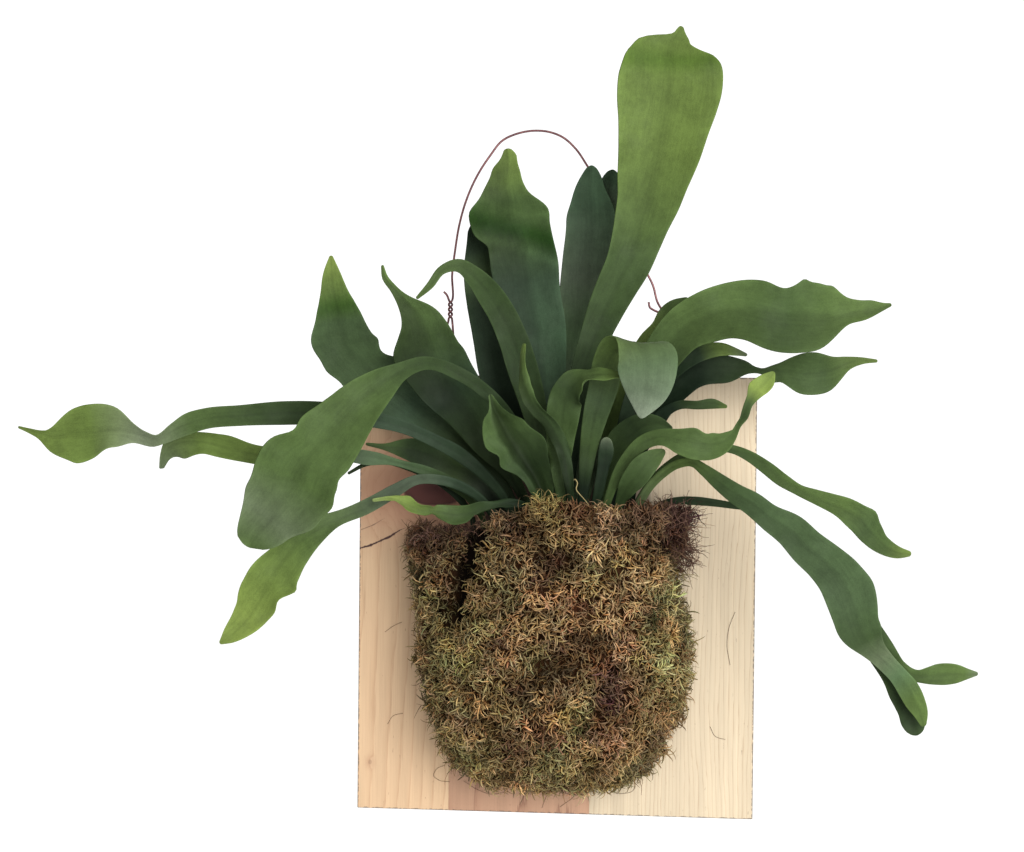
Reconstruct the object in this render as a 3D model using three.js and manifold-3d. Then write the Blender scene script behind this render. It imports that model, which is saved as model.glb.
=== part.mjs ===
// Staghorn fern grown in a moss pot on a board of three glued pine staves, hung by a copper wire.
// Millimetres, +Z up, the board's back face on the plane y = 0 and the viewer towards -Y.
import * as THREE from 'three';
import Module from 'manifold-3d';

const wasm = await Module();
wasm.setup();
const { Manifold, Mesh } = wasm;

// Board: one inch pine stock, eleven and a quarter inches wide
const BOARD_WIDTH = 286;
const BOARD_HEIGHT = 316;
const BOARD_THICKNESS = 19;
const SEAM_LEFT = -76;
const SEAM_RIGHT = 26;

// Screw eyes in the board's top edge
const EYE_X = 80;
const EYE_Y = -9.5;
const EYE_RING_RADIUS = 4.8;
const EYE_ROD_RADIUS = 1.2;
const EYE_RING_HEIGHT = 8.4;
const EYE_SHANK_DEPTH = 14;

// Hanging wire
const WIRE_RADIUS = 0.8;
const WIRE_SIDES = 6;
const TWIST_RADIUS = 1.25;
const WIRE_CLEARANCE = 0.45;

// Gap left between pieces that rest on each other
const SEAT_GAP = 0.3;

// Moss pot: rows of height, left edge, right edge and depth in front of the board
const MOSS_ROWS = [
  [-135, -22, 26, 16],
  [-130, -50, 52, 38],
  [-119, -67, 67, 63],
  [-102, -78, 79, 85],
  [-80, -87, 90, 98],
  [-56, -93, 96, 104],
  [-26, -95, 97, 106],
  [4, -98, 93, 106],
  [28, -104, 89, 105],
  [52, -104, 95, 103],
  [80, -102, 94, 100],
];
// Height of the pot's rim against the angle round it, from the left edge to the right
const RIM = [
  [0, 47], [40, 49], [55, 50], [64, 54], [74, 60], [84, 67], [94, 73], [106, 69],
  [140, 68], [165, 65], [180, 60],
];
const MOSS_WALL = 13;
const MOSS_SQUARENESS = 2.6;
const MOSS_COLUMNS = 30;
const MOSS_LAYERS = 18;
const SPRIG_COUNT = 190;
const SPRIG_LENGTH = 9;
const SPRIG_RADIUS = 5.5;
const SPRIG_SUNK = 4;
const CLUMP_JITTER = 7;

// Root ball inside the pot
const SOIL_TOP = 50;
const SOCKET_CLEARANCE = 1;

// Frond sections
const PETIOLE_THICKNESS = 4;
const BLADE_THICKNESS = 1.5;
const MARGIN_THICKNESS = 1;
const ROW_SPACING = 19;
const NARROW_BLADE = 17;

// Colours
const LEAF_DARK = 0x3c5a3a;
const LEAF_MID = 0x55743e;
const LEAF_LIGHT = 0x7f9a56;
const PINE = 0xd9bd8c;
const MOSS_GREEN = 0x6b6232;
const PEAT = 0x3b2a1e;
const COPPER = 0x7c4a3c;
const STEEL = 0x8a8a86;

// Each station of a frond is [x, depth in front of the board, z, width, turn in degrees about the midrib]
const FRONDS = [
  {
    name: 'frond_long_left', colour: LEAF_MID, ruffle: 1.2,
    stations: [
      [-27, 46, 39, 6], [-28, 48, 60, 6], [-33, 51, 72, 6], [-41, 56, 83, 7], [-53, 62, 95, 9],
      [-66, 67, 105, 10], [-79, 72, 112, 9], [-99, 78, 121, 9], [-118, 84, 126, 11], [-148, 92, 130, 15],
      [-177, 98, 130, 16], [-207, 102, 128, 14], [-228, 105, 126, 14], [-249, 107, 119, 14],
      [-262, 108, 112, 8, 40], [-269, 109, 114, 9, 40], [-277, 110, 116, 14, 20], [-289, 112, 118, 30],
      [-306, 112, 116, 38], [-320, 111, 115, 34], [-333, 109, 113, 22], [-342, 107, 115, 9],
      [-350, 105, 117, 5], [-359, 103, 119, 2],
    ],
  },
  {
    name: 'frond_low_left', colour: LEAF_MID, ruffle: 0.8,
    stations: [
      [-47, 40, 39, 5], [-50, 41, 60, 5], [-58, 45, 72, 6], [-70, 50, 82, 8], [-88, 56, 91, 7],
      [-105, 60, 96, 5], [-120, 66, 100, 7], [-144, 76, 102, 10], [-170, 84, 102, 13],
      [-195, 88, 101, 13], [-207, 90, 103, 13], [-222, 90, 107, 15], [-236, 90, 111, 13],
      [-246, 90, 112, 9, 20], [-257, 89, 109, 8, 40], [-263, 87, 102, 6, 50], [-266, 85, 92, 2, 50],
    ],
  },
  {
    name: 'frond_arched_left', colour: LEAF_LIGHT, ruffle: 3, waves: 5,
    stations: [
      [-7, 48, 39, 6], [-6, 49, 60, 6], [-9, 53, 84, 8], [-20, 62, 113, 8], [-37, 75, 139, 9],
      [-60, 90, 157, 9], [-82, 104, 164, 9], [-97, 114, 158, 13], [-108, 121, 150, 23],
      [-122, 128, 138, 35], [-135, 132, 123, 44], [-146, 135, 109, 50], [-156, 136, 97, 56],
      [-164, 136, 82, 57], [-170, 134, 69, 56], [-177, 132, 57, 45], [-184, 130, 49, 30],
      [-190, 128, 42, 17],
    ],
  },
  {
    name: 'frond_lower_left', colour: LEAF_LIGHT, ruffle: 2,
    stations: [
      [-38, 52, 39, 6], [-40, 53, 60, 6], [-48, 55, 71, 6], [-61, 59, 80, 7], [-76, 64, 85, 7],
      [-92, 72, 85, 7], [-105, 79, 78, 9], [-120, 86, 69, 10], [-136, 94, 61, 11], [-151, 101, 54, 16],
      [-164, 106, 45, 24], [-173, 109, 35, 29], [-179, 110, 26, 33], [-184, 110, 16, 34],
      [-192, 109, 3, 27], [-202, 107, -11, 20], [-212, 105, -20, 11], [-219, 103, -25, 2],
    ],
  },
  {
    name: 'frond_pointed_left', colour: LEAF_DARK, ruffle: 2,
    stations: [
      [-26, 25, 39, 6], [-27, 25, 60, 6], [-37, 27, 82, 9], [-62, 29, 108, 24], [-85, 32, 126, 33],
      [-110, 36, 144, 40], [-128, 42, 158, 45], [-139, 48, 169, 48], [-145, 53, 178, 44],
      [-147, 57, 188, 38], [-149, 60, 201, 29], [-151, 62, 213, 20], [-153, 62, 227, 12],
      [-154, 60, 239, 2],
    ],
  },
  {
    name: 'frond_horned_left', colour: LEAF_DARK, ruffle: 2,
    stations: [
      [-16, 31, 39, 6], [-17, 32, 60, 6], [-28, 37, 86, 10], [-45, 43, 112, 25], [-61, 49, 137, 36],
      [-75, 54, 155, 43], [-84, 57, 170, 46], [-88, 60, 184, 39], [-92, 62, 197, 27], [-100, 64, 207, 15],
      [-108, 65, 216, 8], [-115, 66, 224, 5], [-117, 67, 232, 2],
    ],
  },
  {
    name: 'frond_recurved', colour: LEAF_MID, ruffle: 0.6,
    stations: [
      [3, 40, 39, 6], [3, 42, 60, 6], [-1, 47, 85, 8], [-8, 54, 113, 13], [-13, 58, 137, 18],
      [-20, 61, 161, 21], [-28, 64, 185, 20], [-35, 67, 200, 19], [-42, 71, 211, 18], [-53, 79, 224, 13],
      [-63, 87, 230, 9], [-73, 93, 226, 6], [-80, 96, 216, 5], [-89, 97, 207, 2],
    ],
  },
  {
    name: 'frond_shaded_back', colour: LEAF_DARK, ruffle: 1.5,
    stations: [
      [-6, 22, 39, 6], [-6, 22, 60, 6], [-10, 20, 84, 11], [-21, 16, 119, 26], [-33, 14, 155, 40],
      [-40, 13, 187, 40], [-45, 13, 215, 40], [-49, 14, 239, 36], [-54, 16, 256, 23], [-59, 18, 267, 10],
    ],
  },
  {
    name: 'frond_tall_centre', colour: LEAF_DARK, ruffle: 1.5,
    stations: [
      [5, 32, 39, 6], [5, 33, 60, 6], [2, 35, 86, 10], [-3, 36, 120, 25], [-9, 36, 155, 35],
      [-13, 34, 190, 42], [-19, 32, 216, 45], [-22, 31, 235, 48], [-25, 31, 249, 47], [-29, 32, 258, 50],
      [-32, 35, 266, 55], [-33, 39, 273, 54], [-33, 42, 280, 43], [-35, 42, 289, 28], [-34, 38, 301, 17],
      [-34, 34, 310, 10], [-35, 31, 317, 4],
    ],
  },
  {
    name: 'frond_two_lobed', colour: LEAF_DARK, ruffle: 1,
    stations: [
      [17, 22, 39, 7], [17, 22, 58, 9], [17, 21, 76, 19], [17, 19, 96, 28], [17, 18, 134, 34],
      [20, 16, 176, 38], [22, 14, 219, 40], [24, 14, 255, 37], [24, 16, 277, 31], [23, 19, 291, 21],
      [24, 22, 301, 12], [24, 24, 306, 5],
    ],
    lobes: [
      [[26, 13, 248, 21], [31, 12, 268, 20], [35, 12, 285, 17], [38, 14, 296, 14], [39, 17, 304, 6]],
    ],
  },
  {
    name: 'frond_tallest', colour: LEAF_MID, ruffle: 2,
    stations: [
      [11, 48, 39, 6], [11, 50, 60, 7], [12, 52, 92, 10], [16, 54, 127, 14], [21, 54, 158, 18],
      [29, 54, 185, 21], [36, 54, 203, 25], [43, 54, 218, 28], [51, 54, 234, 31], [56, 54, 249, 34],
      [60, 55, 263, 38], [64, 55, 276, 43], [67, 56, 291, 49], [71, 58, 309, 56], [74, 60, 327, 62],
      [76, 61, 341, 68], [78, 61, 355, 71], [78, 60, 367, 69], [78, 58, 376, 58], [79, 56, 382, 42],
      [80, 54, 387, 24], [83, 52, 392, 10], [86, 50, 397, 2],
    ],
  },
  {
    name: 'frond_folded_tongue', colour: LEAF_LIGHT, across: [1, 0, 0], ruffle: 0, cup: 0.05,
    stations: [
      [20, 60, 39, 5], [21, 63, 60, 6], [23, 70, 84, 8], [26, 78, 108, 12], [31, 86, 132, 17],
      [36, 93, 150, 20], [40, 101, 167, 21], [47, 109, 175, 27], [57, 117, 177, 34], [64, 123, 171, 39],
      [65, 126, 157, 37], [64, 124, 142, 25], [61, 120, 129, 3],
    ],
  },
  {
    name: 'frond_ruffled_centre', colour: LEAF_MID, ruffle: 1.5,
    stations: [
      [7, 66, 39, 5], [8, 68, 60, 5], [7, 74, 84, 9], [7, 80, 108, 17], [9, 86, 130, 22],
      [12, 92, 144, 22], [18, 98, 152, 18, 30], [26, 105, 156, 13, 55], [35, 110, 157, 9, 65],
      [43, 113, 157, 7, 65], [50, 115, 156, 3, 65],
    ],
  },
  {
    name: 'frond_curled_centre', colour: LEAF_MID, ruffle: 1,
    stations: [
      [14, 72, 39, 5], [14, 76, 60, 5], [10, 84, 87, 7], [4, 90, 108, 10], [-4, 94, 124, 11, 15],
      [-11, 97, 139, 9, 30], [-17, 97, 154, 8, 40], [-18, 95, 167, 6, 30], [-17, 91, 178, 2],
    ],
  },
  {
    name: 'frond_channelled', colour: LEAF_LIGHT, cup: 0.3, ruffle: 1.5,
    stations: [
      [-2, 58, 39, 5], [-2, 60, 58, 6], [-6, 65, 72, 12], [-12, 70, 84, 21], [-20, 75, 97, 28],
      [-28, 80, 111, 30], [-34, 84, 123, 24], [-38, 86, 134, 13], [-40, 87, 144, 2],
    ],
  },
  {
    name: 'frond_wavy_rim', colour: LEAF_LIGHT, ruffle: 1,
    stations: [
      [-8, 70, 39, 5], [-8, 73, 58, 5], [-15, 78, 68, 5], [-26, 81, 71, 6], [-38, 83, 68, 7],
      [-48, 84, 65, 9], [-57, 85, 63, 12], [-65, 86, 63, 12], [-76, 87, 65, 9], [-86, 89, 66, 7],
      [-97, 91, 70, 7], [-106, 93, 74, 5], [-118, 95, 72, 2],
    ],
  },
  {
    name: 'frond_inner_left', colour: LEAF_DARK, ruffle: 1,
    stations: [
      [-35, 28, 39, 5], [-37, 30, 60, 6], [-42, 34, 73, 10], [-53, 38, 85, 17], [-72, 43, 95, 23],
      [-90, 47, 103, 20], [-103, 51, 106, 14], [-116, 55, 107, 5], [-129, 58, 109, 2],
    ],
  },
  {
    name: 'frond_thin_left', colour: LEAF_DARK, ruffle: 0.3,
    stations: [
      [-56, 30, 39, 4], [-58, 33, 60, 4], [-65, 37, 70, 5], [-79, 42, 80, 5], [-98, 46, 88, 4],
      [-117, 50, 94, 4], [-130, 53, 93, 3], [-142, 55, 88, 2],
    ],
  },
  {
    name: 'frond_large_right', colour: LEAF_MID, ruffle: 2,
    stations: [
      [40, 36, 39, 6], [41, 37, 60, 7], [45, 41, 86, 12], [51, 46, 110, 18], [58, 51, 134, 22],
      [67, 57, 158, 25], [78, 62, 177, 28], [90, 66, 190, 31], [104, 70, 197, 35], [117, 73, 201, 37],
      [130, 75, 202, 40], [146, 78, 199, 43], [157, 79, 196, 45], [167, 80, 197, 50], [179, 80, 197, 44],
      [188, 80, 197, 33], [197, 79, 199, 23], [206, 78, 201, 15], [216, 76, 203, 7], [226, 74, 206, 2],
    ],
  },
  {
    name: 'frond_second_right', colour: LEAF_DARK, ruffle: 1.5,
    stations: [
      [47, 22, 39, 6], [47, 23, 60, 7], [48, 25, 80, 13], [52, 28, 102, 20], [60, 32, 122, 27],
      [70, 37, 142, 31], [82, 41, 155, 31], [95, 45, 163, 29], [111, 49, 164, 20], [124, 51, 164, 14],
      [134, 53, 164, 8], [144, 54, 162, 6, 20], [153, 55, 162, 10], [161, 56, 161, 20],
      [168, 57, 160, 27], [176, 57, 160, 29], [185, 57, 161, 26], [193, 57, 164, 16], [199, 56, 167, 10],
      [209, 55, 169, 5], [220, 54, 169, 2],
    ],
  },
  {
    name: 'frond_small_dark_right', colour: LEAF_DARK, ruffle: 0.8,
    stations: [
      [48, 30, 39, 5], [49, 31, 60, 5], [51, 34, 84, 6], [56, 38, 110, 8], [65, 43, 136, 10],
      [82, 50, 161, 11], [100, 56, 173, 11], [115, 60, 176, 9], [125, 62, 174, 5], [132, 63, 172, 2],
    ],
  },
  {
    name: 'frond_hidden_right', colour: LEAF_DARK, ruffle: 1.5,
    stations: [
      [36, 18, 39, 6], [36, 17, 58, 8], [38, 15, 80, 17], [41, 14, 100, 24], [49, 13, 128, 27],
      [58, 13, 154, 25], [66, 14, 177, 22], [73, 15, 191, 18], [79, 16, 201, 16], [84, 17, 208, 10],
      [93, 18, 213, 3],
    ],
  },
  {
    name: 'frond_dark_curl', colour: LEAF_DARK, ruffle: 0.8,
    stations: [
      [54, 38, 39, 5], [54, 40, 60, 5], [56, 44, 84, 6], [62, 50, 109, 8], [72, 56, 128, 8],
      [87, 60, 138, 6], [99, 62, 138, 6], [109, 63, 139, 7], [119, 63, 137, 2],
    ],
  },
  {
    name: 'frond_s_curved', colour: LEAF_MID, ruffle: 1,
    stations: [
      [34, 68, 39, 5], [36, 71, 60, 5], [41, 77, 79, 6], [50, 86, 98, 9], [63, 94, 113, 10],
      [76, 100, 117, 12], [87, 103, 115, 19], [98, 104, 113, 22], [107, 104, 112, 19],
      [115, 105, 114, 13], [120, 106, 119, 8], [124, 107, 126, 5, 20], [128, 108, 133, 5, 20],
      [131, 108, 140, 6], [135, 108, 146, 9], [139, 108, 151, 12], [143, 107, 155, 10],
      [147, 106, 160, 2],
    ],
  },
  {
    name: 'frond_long_thin_right', colour: LEAF_MID, ruffle: 0.6,
    stations: [
      [50, 48, 39, 5], [55, 52, 60, 5], [63, 60, 77, 6], [77, 69, 94, 7], [92, 75, 105, 6],
      [107, 80, 110, 6], [121, 84, 109, 6, 20], [133, 87, 105, 6], [145, 90, 98, 6], [156, 93, 89, 7],
      [165, 95, 83, 7], [174, 97, 79, 10], [184, 99, 74, 15], [195, 100, 70, 17], [204, 100, 64, 18],
      [210, 100, 57, 17], [216, 99, 51, 15], [222, 97, 46, 11], [229, 95, 43, 8], [238, 93, 42, 3],
    ],
  },
  {
    name: 'frond_drooping_right', colour: LEAF_MID, ruffle: 1, cup: 0.1,
    stations: [
      [55, 54, 39, 5], [57, 58, 60, 6], [64, 67, 78, 6], [76, 77, 92, 6], [87, 86, 99, 6],
      [95, 90, 100, 6], [103, 94, 95, 8], [112, 98, 88, 11], [123, 102, 80, 14], [135, 106, 73, 17],
      [146, 110, 65, 20], [158, 114, 57, 23], [168, 118, 47, 25], [179, 121, 38, 27], [188, 123, 29, 30],
      [194, 124, 19, 32], [198, 124, 8, 31], [202, 123, -5, 28], [208, 121, -16, 21], [218, 118, -25, 14],
      [227, 115, -36, 16], [232, 112, -48, 19], [235, 109, -60, 20], [237, 107, -69, 14],
      [237, 106, -75, 5],
    ],
    lobes: [
      [
        [207, 121, -3, 17], [218, 117, -17, 13], [229, 112, -29, 8], [239, 108, -35, 8],
        [249, 106, -35, 12], [258, 105, -34, 14], [267, 104, -34, 12], [273, 103, -34, 7],
        [280, 102, -34, 2],
      ],
      [
        [204, 120, -4, 16], [211, 112, -22, 16], [217, 105, -39, 14], [220, 101, -54, 14],
        [223, 98, -67, 14], [227, 97, -78, 8],
      ],
    ],
  },
  {
    name: 'frond_short_right', colour: LEAF_DARK, ruffle: 0.3,
    stations: [
      [64, 40, 39, 4], [66, 43, 60, 4], [72, 47, 73, 5], [84, 50, 79, 5], [98, 53, 78, 6], [115, 55, 74, 5],
      [130, 56, 70, 4], [141, 56, 68, 2],
    ],
  },
  {
    name: 'frond_broad_inner', colour: LEAF_DARK, ruffle: 1,
    stations: [
      [31, 48, 39, 5], [32, 50, 60, 6], [35, 54, 80, 10], [43, 60, 101, 22], [53, 66, 116, 23],
      [64, 71, 124, 17], [74, 74, 125, 9], [82, 76, 122, 2],
    ],
  },
  {
    name: 'frond_young_paddle', colour: LEAF_LIGHT, ruffle: 0, cup: 0.05,
    stations: [
      [27, 60, 39, 5], [29, 65, 60, 5], [33, 74, 80, 7], [36, 79, 96, 8], [38, 82, 108, 10],
      [38, 83, 116, 6],
    ],
  },
  {
    name: 'frond_lower_light', colour: LEAF_LIGHT, ruffle: 0.6,
    stations: [
      [43, 68, 39, 5], [45, 71, 60, 5], [47, 75, 71, 6], [51, 82, 80, 11], [57, 91, 89, 16],
      [64, 96, 98, 16], [71, 97, 104, 11], [77, 96, 108, 3],
    ],
  },
];

// Smooth interpolation through rows of numbers at increasing knots
function interpolate(knots, rows, t) {
  const last = knots.length - 1;
  let i = 0;
  while (i < last - 1 && t > knots[i + 1]) i += 1;
  const step = knots[i + 1] - knots[i];
  const s = (t - knots[i]) / step;
  const slope = (k) => {
    const low = Math.max(0, Math.min(k - 1, last - 1));
    const high = Math.min(k, last - 1);
    const before = knots[low + 1] - knots[low];
    const after = knots[high + 1] - knots[high];
    const share = low === high ? 0.5 : after / (before + after);
    return rows[0].map((_, c) => {
      const first = (rows[low + 1][c] - rows[low][c]) / before;
      const second = (rows[high + 1][c] - rows[high][c]) / after;
      return first * share + second * (1 - share);
    });
  };
  const from = slope(i);
  const to = slope(i + 1);
  const s2 = s * s;
  const s3 = s2 * s;
  return rows[0].map((_, c) => (2 * s3 - 3 * s2 + 1) * rows[i][c] + (s3 - 2 * s2 + s) * step * from[c]
    + (3 * s2 - 2 * s3) * rows[i + 1][c] + (s3 - s2) * step * to[c]);
}

// Straight line interpolation in a list of [key, value, value, ...]
function lookup(table, key) {
  let i = 0;
  while (i < table.length - 2 && key > table[i + 1][0]) i += 1;
  const s = Math.min(1, Math.max(0, (key - table[i][0]) / (table[i + 1][0] - table[i][0])));
  return table[i].slice(1).map((value, c) => value + (table[i + 1][c + 1] - value) * s);
}

// Repeatable number from 0 to 1
function chance(seed) {
  const x = Math.sin(seed * 127.1 + 311.7) * 43758.5453;
  return x - Math.floor(x);
}

function toManifold(positions, triangles) {
  return new Manifold(new Mesh({
    numProp: 3,
    vertProperties: new Float32Array(positions.flat()),
    triVerts: new Uint32Array(triangles.flat()),
  }));
}

function toNode(name, solid, colour, roughness = 0.8, metalness = 0) {
  const mesh = solid.getMesh();
  const geometry = new THREE.BufferGeometry();
  geometry.setAttribute('position', new THREE.BufferAttribute(new Float32Array(mesh.vertProperties), 3));
  geometry.setIndex(new THREE.BufferAttribute(new Uint32Array(mesh.triVerts), 1));
  const material = new THREE.MeshStandardMaterial({ color: colour, roughness, metalness });
  const node = new THREE.Mesh(geometry, material);
  node.name = name;
  return node;
}

// Midrib points with the side and outward directions of the blade at each
function midrib(stations, across) {
  const rows = stations.map(([x, depth, z, width, turn = 0]) => [
    x, -BOARD_THICKNESS - depth, z, width, THREE.MathUtils.degToRad(turn),
  ]);
  const knots = [0];
  for (let i = 1; i < rows.length; i += 1) {
    knots.push(knots[i - 1] + Math.hypot(...[0, 1, 2].map((c) => rows[i][c] - rows[i - 1][c])));
  }
  const end = knots[knots.length - 1];
  const pointAt = (t) => new THREE.Vector3(...interpolate(knots, rows, t).slice(0, 3));
  const samples = [];
  for (let i = 0; i < knots.length - 1; i += 1) {
    const steps = Math.max(1, Math.round((knots[i + 1] - knots[i]) / ROW_SPACING));
    for (let k = 0; k < steps; k += 1) samples.push(knots[i] + (knots[i + 1] - knots[i]) * (k / steps));
  }
  samples.push(end);
  return samples.map((t) => {
    const [x, y, z, width, turn] = interpolate(knots, rows, t);
    const step = end * 1e-3;
    const along = pointAt(Math.min(t + step, end)).sub(pointAt(Math.max(t - step, 0))).normalize();
    const side = new THREE.Vector3();
    if (across) {
      side.set(...across);
      side.addScaledVector(along, -side.dot(along)).normalize();
    } else {
      side.crossVectors(along, new THREE.Vector3(0, -1, 0)).normalize();
    }
    const out = new THREE.Vector3().crossVectors(side, along);
    side.applyAxisAngle(along, -turn);
    out.applyAxisAngle(along, -turn);
    return { centre: new THREE.Vector3(x, y, z), side, out, width: Math.max(width, 2), t: t / end };
  });
}

// Lens shaped blade swept along its midrib, with cupped and ruffled margins
function blade(stations, frond) {
  const { across, cup = 0.12, ruffle = 2, waves = 4, phase = 0 } = frond;
  const rows = midrib(stations, across);
  const widest = Math.max(...rows.map((row) => row.width));
  const columns = widest > NARROW_BLADE ? 4 : 2;
  const positions = [];
  rows.forEach(({ centre, side, out, width, t }) => {
    const envelope = Math.min(1, Math.max(0, (width / widest - 0.15) / 0.5));
    const stout = Math.max(0, 1 - t / 0.4);
    const middle = Math.min(BLADE_THICKNESS + (PETIOLE_THICKNESS - BLADE_THICKNESS) * stout, 0.7 * width);
    const layers = [[], []];
    for (let j = 0; j <= columns; j += 1) {
      const v = (2 * j) / columns - 1;
      const wave = Math.sin(2 * Math.PI * waves * t + phase + (v < 0 ? 0 : 1.9));
      const lift = cup * width * (v * v - 0.35) + ruffle * envelope * Math.abs(v) ** 2.5 * wave;
      const half = (MARGIN_THICKNESS + (middle - MARGIN_THICKNESS) * (1 - v * v)) / 2;
      const base = centre.clone().addScaledVector(side, (v * width) / 2);
      layers[0].push(base.clone().addScaledVector(out, lift + half).toArray());
      layers[1].push(base.clone().addScaledVector(out, lift - half).toArray());
    }
    positions.push(...layers[0], ...layers[1]);
  });
  const ring = 2 * (columns + 1);
  const front = (i, j) => i * ring + j;
  const back = (i, j) => i * ring + columns + 1 + j;
  const triangles = [];
  const quad = (a, b, c, d) => triangles.push([a, b, c], [a, c, d]);
  for (let i = 0; i < rows.length - 1; i += 1) {
    for (let j = 0; j < columns; j += 1) {
      quad(front(i, j), front(i, j + 1), front(i + 1, j + 1), front(i + 1, j));
      triangles.push([back(i, j), back(i + 1, j + 1), back(i, j + 1)]);
      triangles.push([back(i, j), back(i + 1, j), back(i + 1, j + 1)]);
    }
    quad(front(i, 0), front(i + 1, 0), back(i + 1, 0), back(i, 0));
    quad(front(i, columns), back(i, columns), back(i + 1, columns), front(i + 1, columns));
  }
  const end = rows.length - 1;
  for (let j = 0; j < columns; j += 1) {
    quad(front(0, j), back(0, j), back(0, j + 1), front(0, j + 1));
    quad(front(end, j), front(end, j + 1), back(end, j + 1), back(end, j));
  }
  return toManifold(positions, triangles);
}

function frondSolid(frond) {
  const pieces = [frond.stations, ...(frond.lobes ?? [])].map((stations) => blade(stations, frond));
  return pieces.length > 1 ? Manifold.union(pieces) : pieces[0];
}

// Point on the pot at an angle from the left edge and a share of the height, drawn in by an inset
function mossPoint(angle, share, inset, topHeight) {
  const bottom = MOSS_ROWS[0][0] + inset;
  const z = bottom + (topHeight - bottom) * share;
  const [left, right, depth] = lookup(MOSS_ROWS, z - inset * (1 - share));
  const radians = THREE.MathUtils.degToRad(angle);
  const power = 2 / MOSS_SQUARENESS;
  const reach = Math.abs(Math.cos(radians)) ** power;
  const edge = angle < 90 ? Math.max(-left - inset, 2) : Math.max(right - inset, 2);
  const middle = (left + right) / 2;
  const x = middle + (angle < 90 ? -1 : 1) * (edge + (angle < 90 ? middle : -middle)) * reach;
  return new THREE.Vector3(x, -BOARD_THICKNESS - Math.max(depth - inset, 2) * Math.sin(radians) ** power, z);
}

// Relief of the clumped moss, with the cleft down the front left
function mossRelief(angle, z) {
  const across = 1.8 * Math.sin(angle * 0.21 + 2.2 * Math.sin(z * 0.061));
  const upward = 1.7 * Math.sin(z * 0.17 + 2.4 * Math.sin(angle * 0.073 + 1));
  const cleft = 9 * Math.exp(-(((angle - 56) / 4.5) ** 2)) * Math.min(1, Math.max(0, (z + 22) / 24));
  return across + upward - cleft;
}

// Solid pouch with a flat back, from a function of column angle and height share
function pouch(columns, layers, pointAt, back) {
  const positions = [];
  for (let i = 0; i <= layers; i += 1) {
    for (let j = 0; j <= columns; j += 1) {
      const point = pointAt((180 * j) / columns, i / layers, i, j);
      if (j === 0 || j === columns) point.y = back;
      else point.y = Math.min(point.y, back - 1);
      positions.push(point.toArray());
    }
  }
  const at = (i, j) => i * (columns + 1) + j;
  const triangles = [];
  for (let i = 0; i < layers; i += 1) {
    for (let j = 0; j < columns; j += 1) {
      triangles.push([at(i, j), at(i, j + 1), at(i + 1, j + 1)]);
      triangles.push([at(i, j), at(i + 1, j + 1), at(i + 1, j)]);
    }
    triangles.push([at(i, 0), at(i + 1, 0), at(i + 1, columns)]);
    triangles.push([at(i, 0), at(i + 1, columns), at(i, columns)]);
  }
  [0, layers].forEach((i) => {
    const hub = positions.length;
    const middle = positions[at(i, Math.round(columns / 2))];
    positions.push([middle[0], (middle[1] + back) / 2, middle[2]]);
    for (let j = 0; j < columns; j += 1) {
      triangles.push(i === 0 ? [hub, at(i, j + 1), at(i, j)] : [hub, at(i, j), at(i, j + 1)]);
    }
    triangles.push(i === 0 ? [hub, at(i, 0), at(i, columns)] : [hub, at(i, columns), at(i, 0)]);
  });
  return toManifold(positions, triangles);
}

// Inside of the pot, drawn in by a further gap
function hollow(gap, back) {
  const inset = MOSS_WALL + gap;
  return pouch(16, 10, (angle, share) => mossPoint(angle, share, inset, 100), back);
}

// Place, direction and length of a sprig: every eighth on the rim, every eighth on the lower fringe
function sprigAxis(index) {
  const angle = 3 + 174 * ((index * 0.618034 + 0.05 * chance(index)) % 1);
  const rim = lookup(RIM, angle)[0];
  const kind = index % 8;
  const shares = [0.975, 0.02 + 0.08 * chance(index + 12)];
  const share = shares[kind] ?? 0.1 + 0.84 * chance(index + 400);
  const root = mossPoint(angle, share, 0, rim);
  const middle = mossPoint(90, share, 0, rim);
  const out = new THREE.Vector3(root.x - middle.x, root.y + BOARD_THICKNESS, 0).normalize();
  if (kind === 1) out.z = -0.8;
  out.normalize();
  root.addScaledVector(out, mossRelief(angle, root.z) - SPRIG_SUNK);
  const rise = [0.9, -0.2][kind] ?? -0.1 - 1.1 * chance(index + 50);
  const lean = new THREE.Vector3(1.4 * chance(index + 90) - 0.7, 0.2 * chance(index + 7), rise);
  const length = (SPRIG_LENGTH + SPRIG_SUNK) * (0.75 + 0.5 * chance(index + 31));
  const tip = root.clone().addScaledVector(out.clone().add(lean).normalize(), length);
  return { root, tip, out };
}

// Three sided sprig with its root sunk in the moss
function sprig(index) {
  const { root, tip, out } = sprigAxis(index);
  const side = new THREE.Vector3().crossVectors(out, new THREE.Vector3(0.3, 0.2, 1)).normalize();
  const up = new THREE.Vector3().crossVectors(side, out);
  const radius = SPRIG_RADIUS * (0.8 + 0.4 * chance(index + 77));
  const positions = [0, 1, 2].map((k) => {
    const turn = 2.1 * k + 6 * chance(index + 5);
    const corner = root.clone().addScaledVector(side, radius * Math.cos(turn));
    return corner.addScaledVector(up, radius * Math.sin(turn)).toArray();
  });
  positions.push(tip.toArray());
  const triangles = [[0, 2, 1], [0, 1, 3], [1, 2, 3], [2, 0, 3]];
  const solid = toManifold(positions, triangles);
  return solid.volume() > 0 ? solid : toManifold(positions, triangles.map(([a, b, c]) => [a, c, b]));
}

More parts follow.
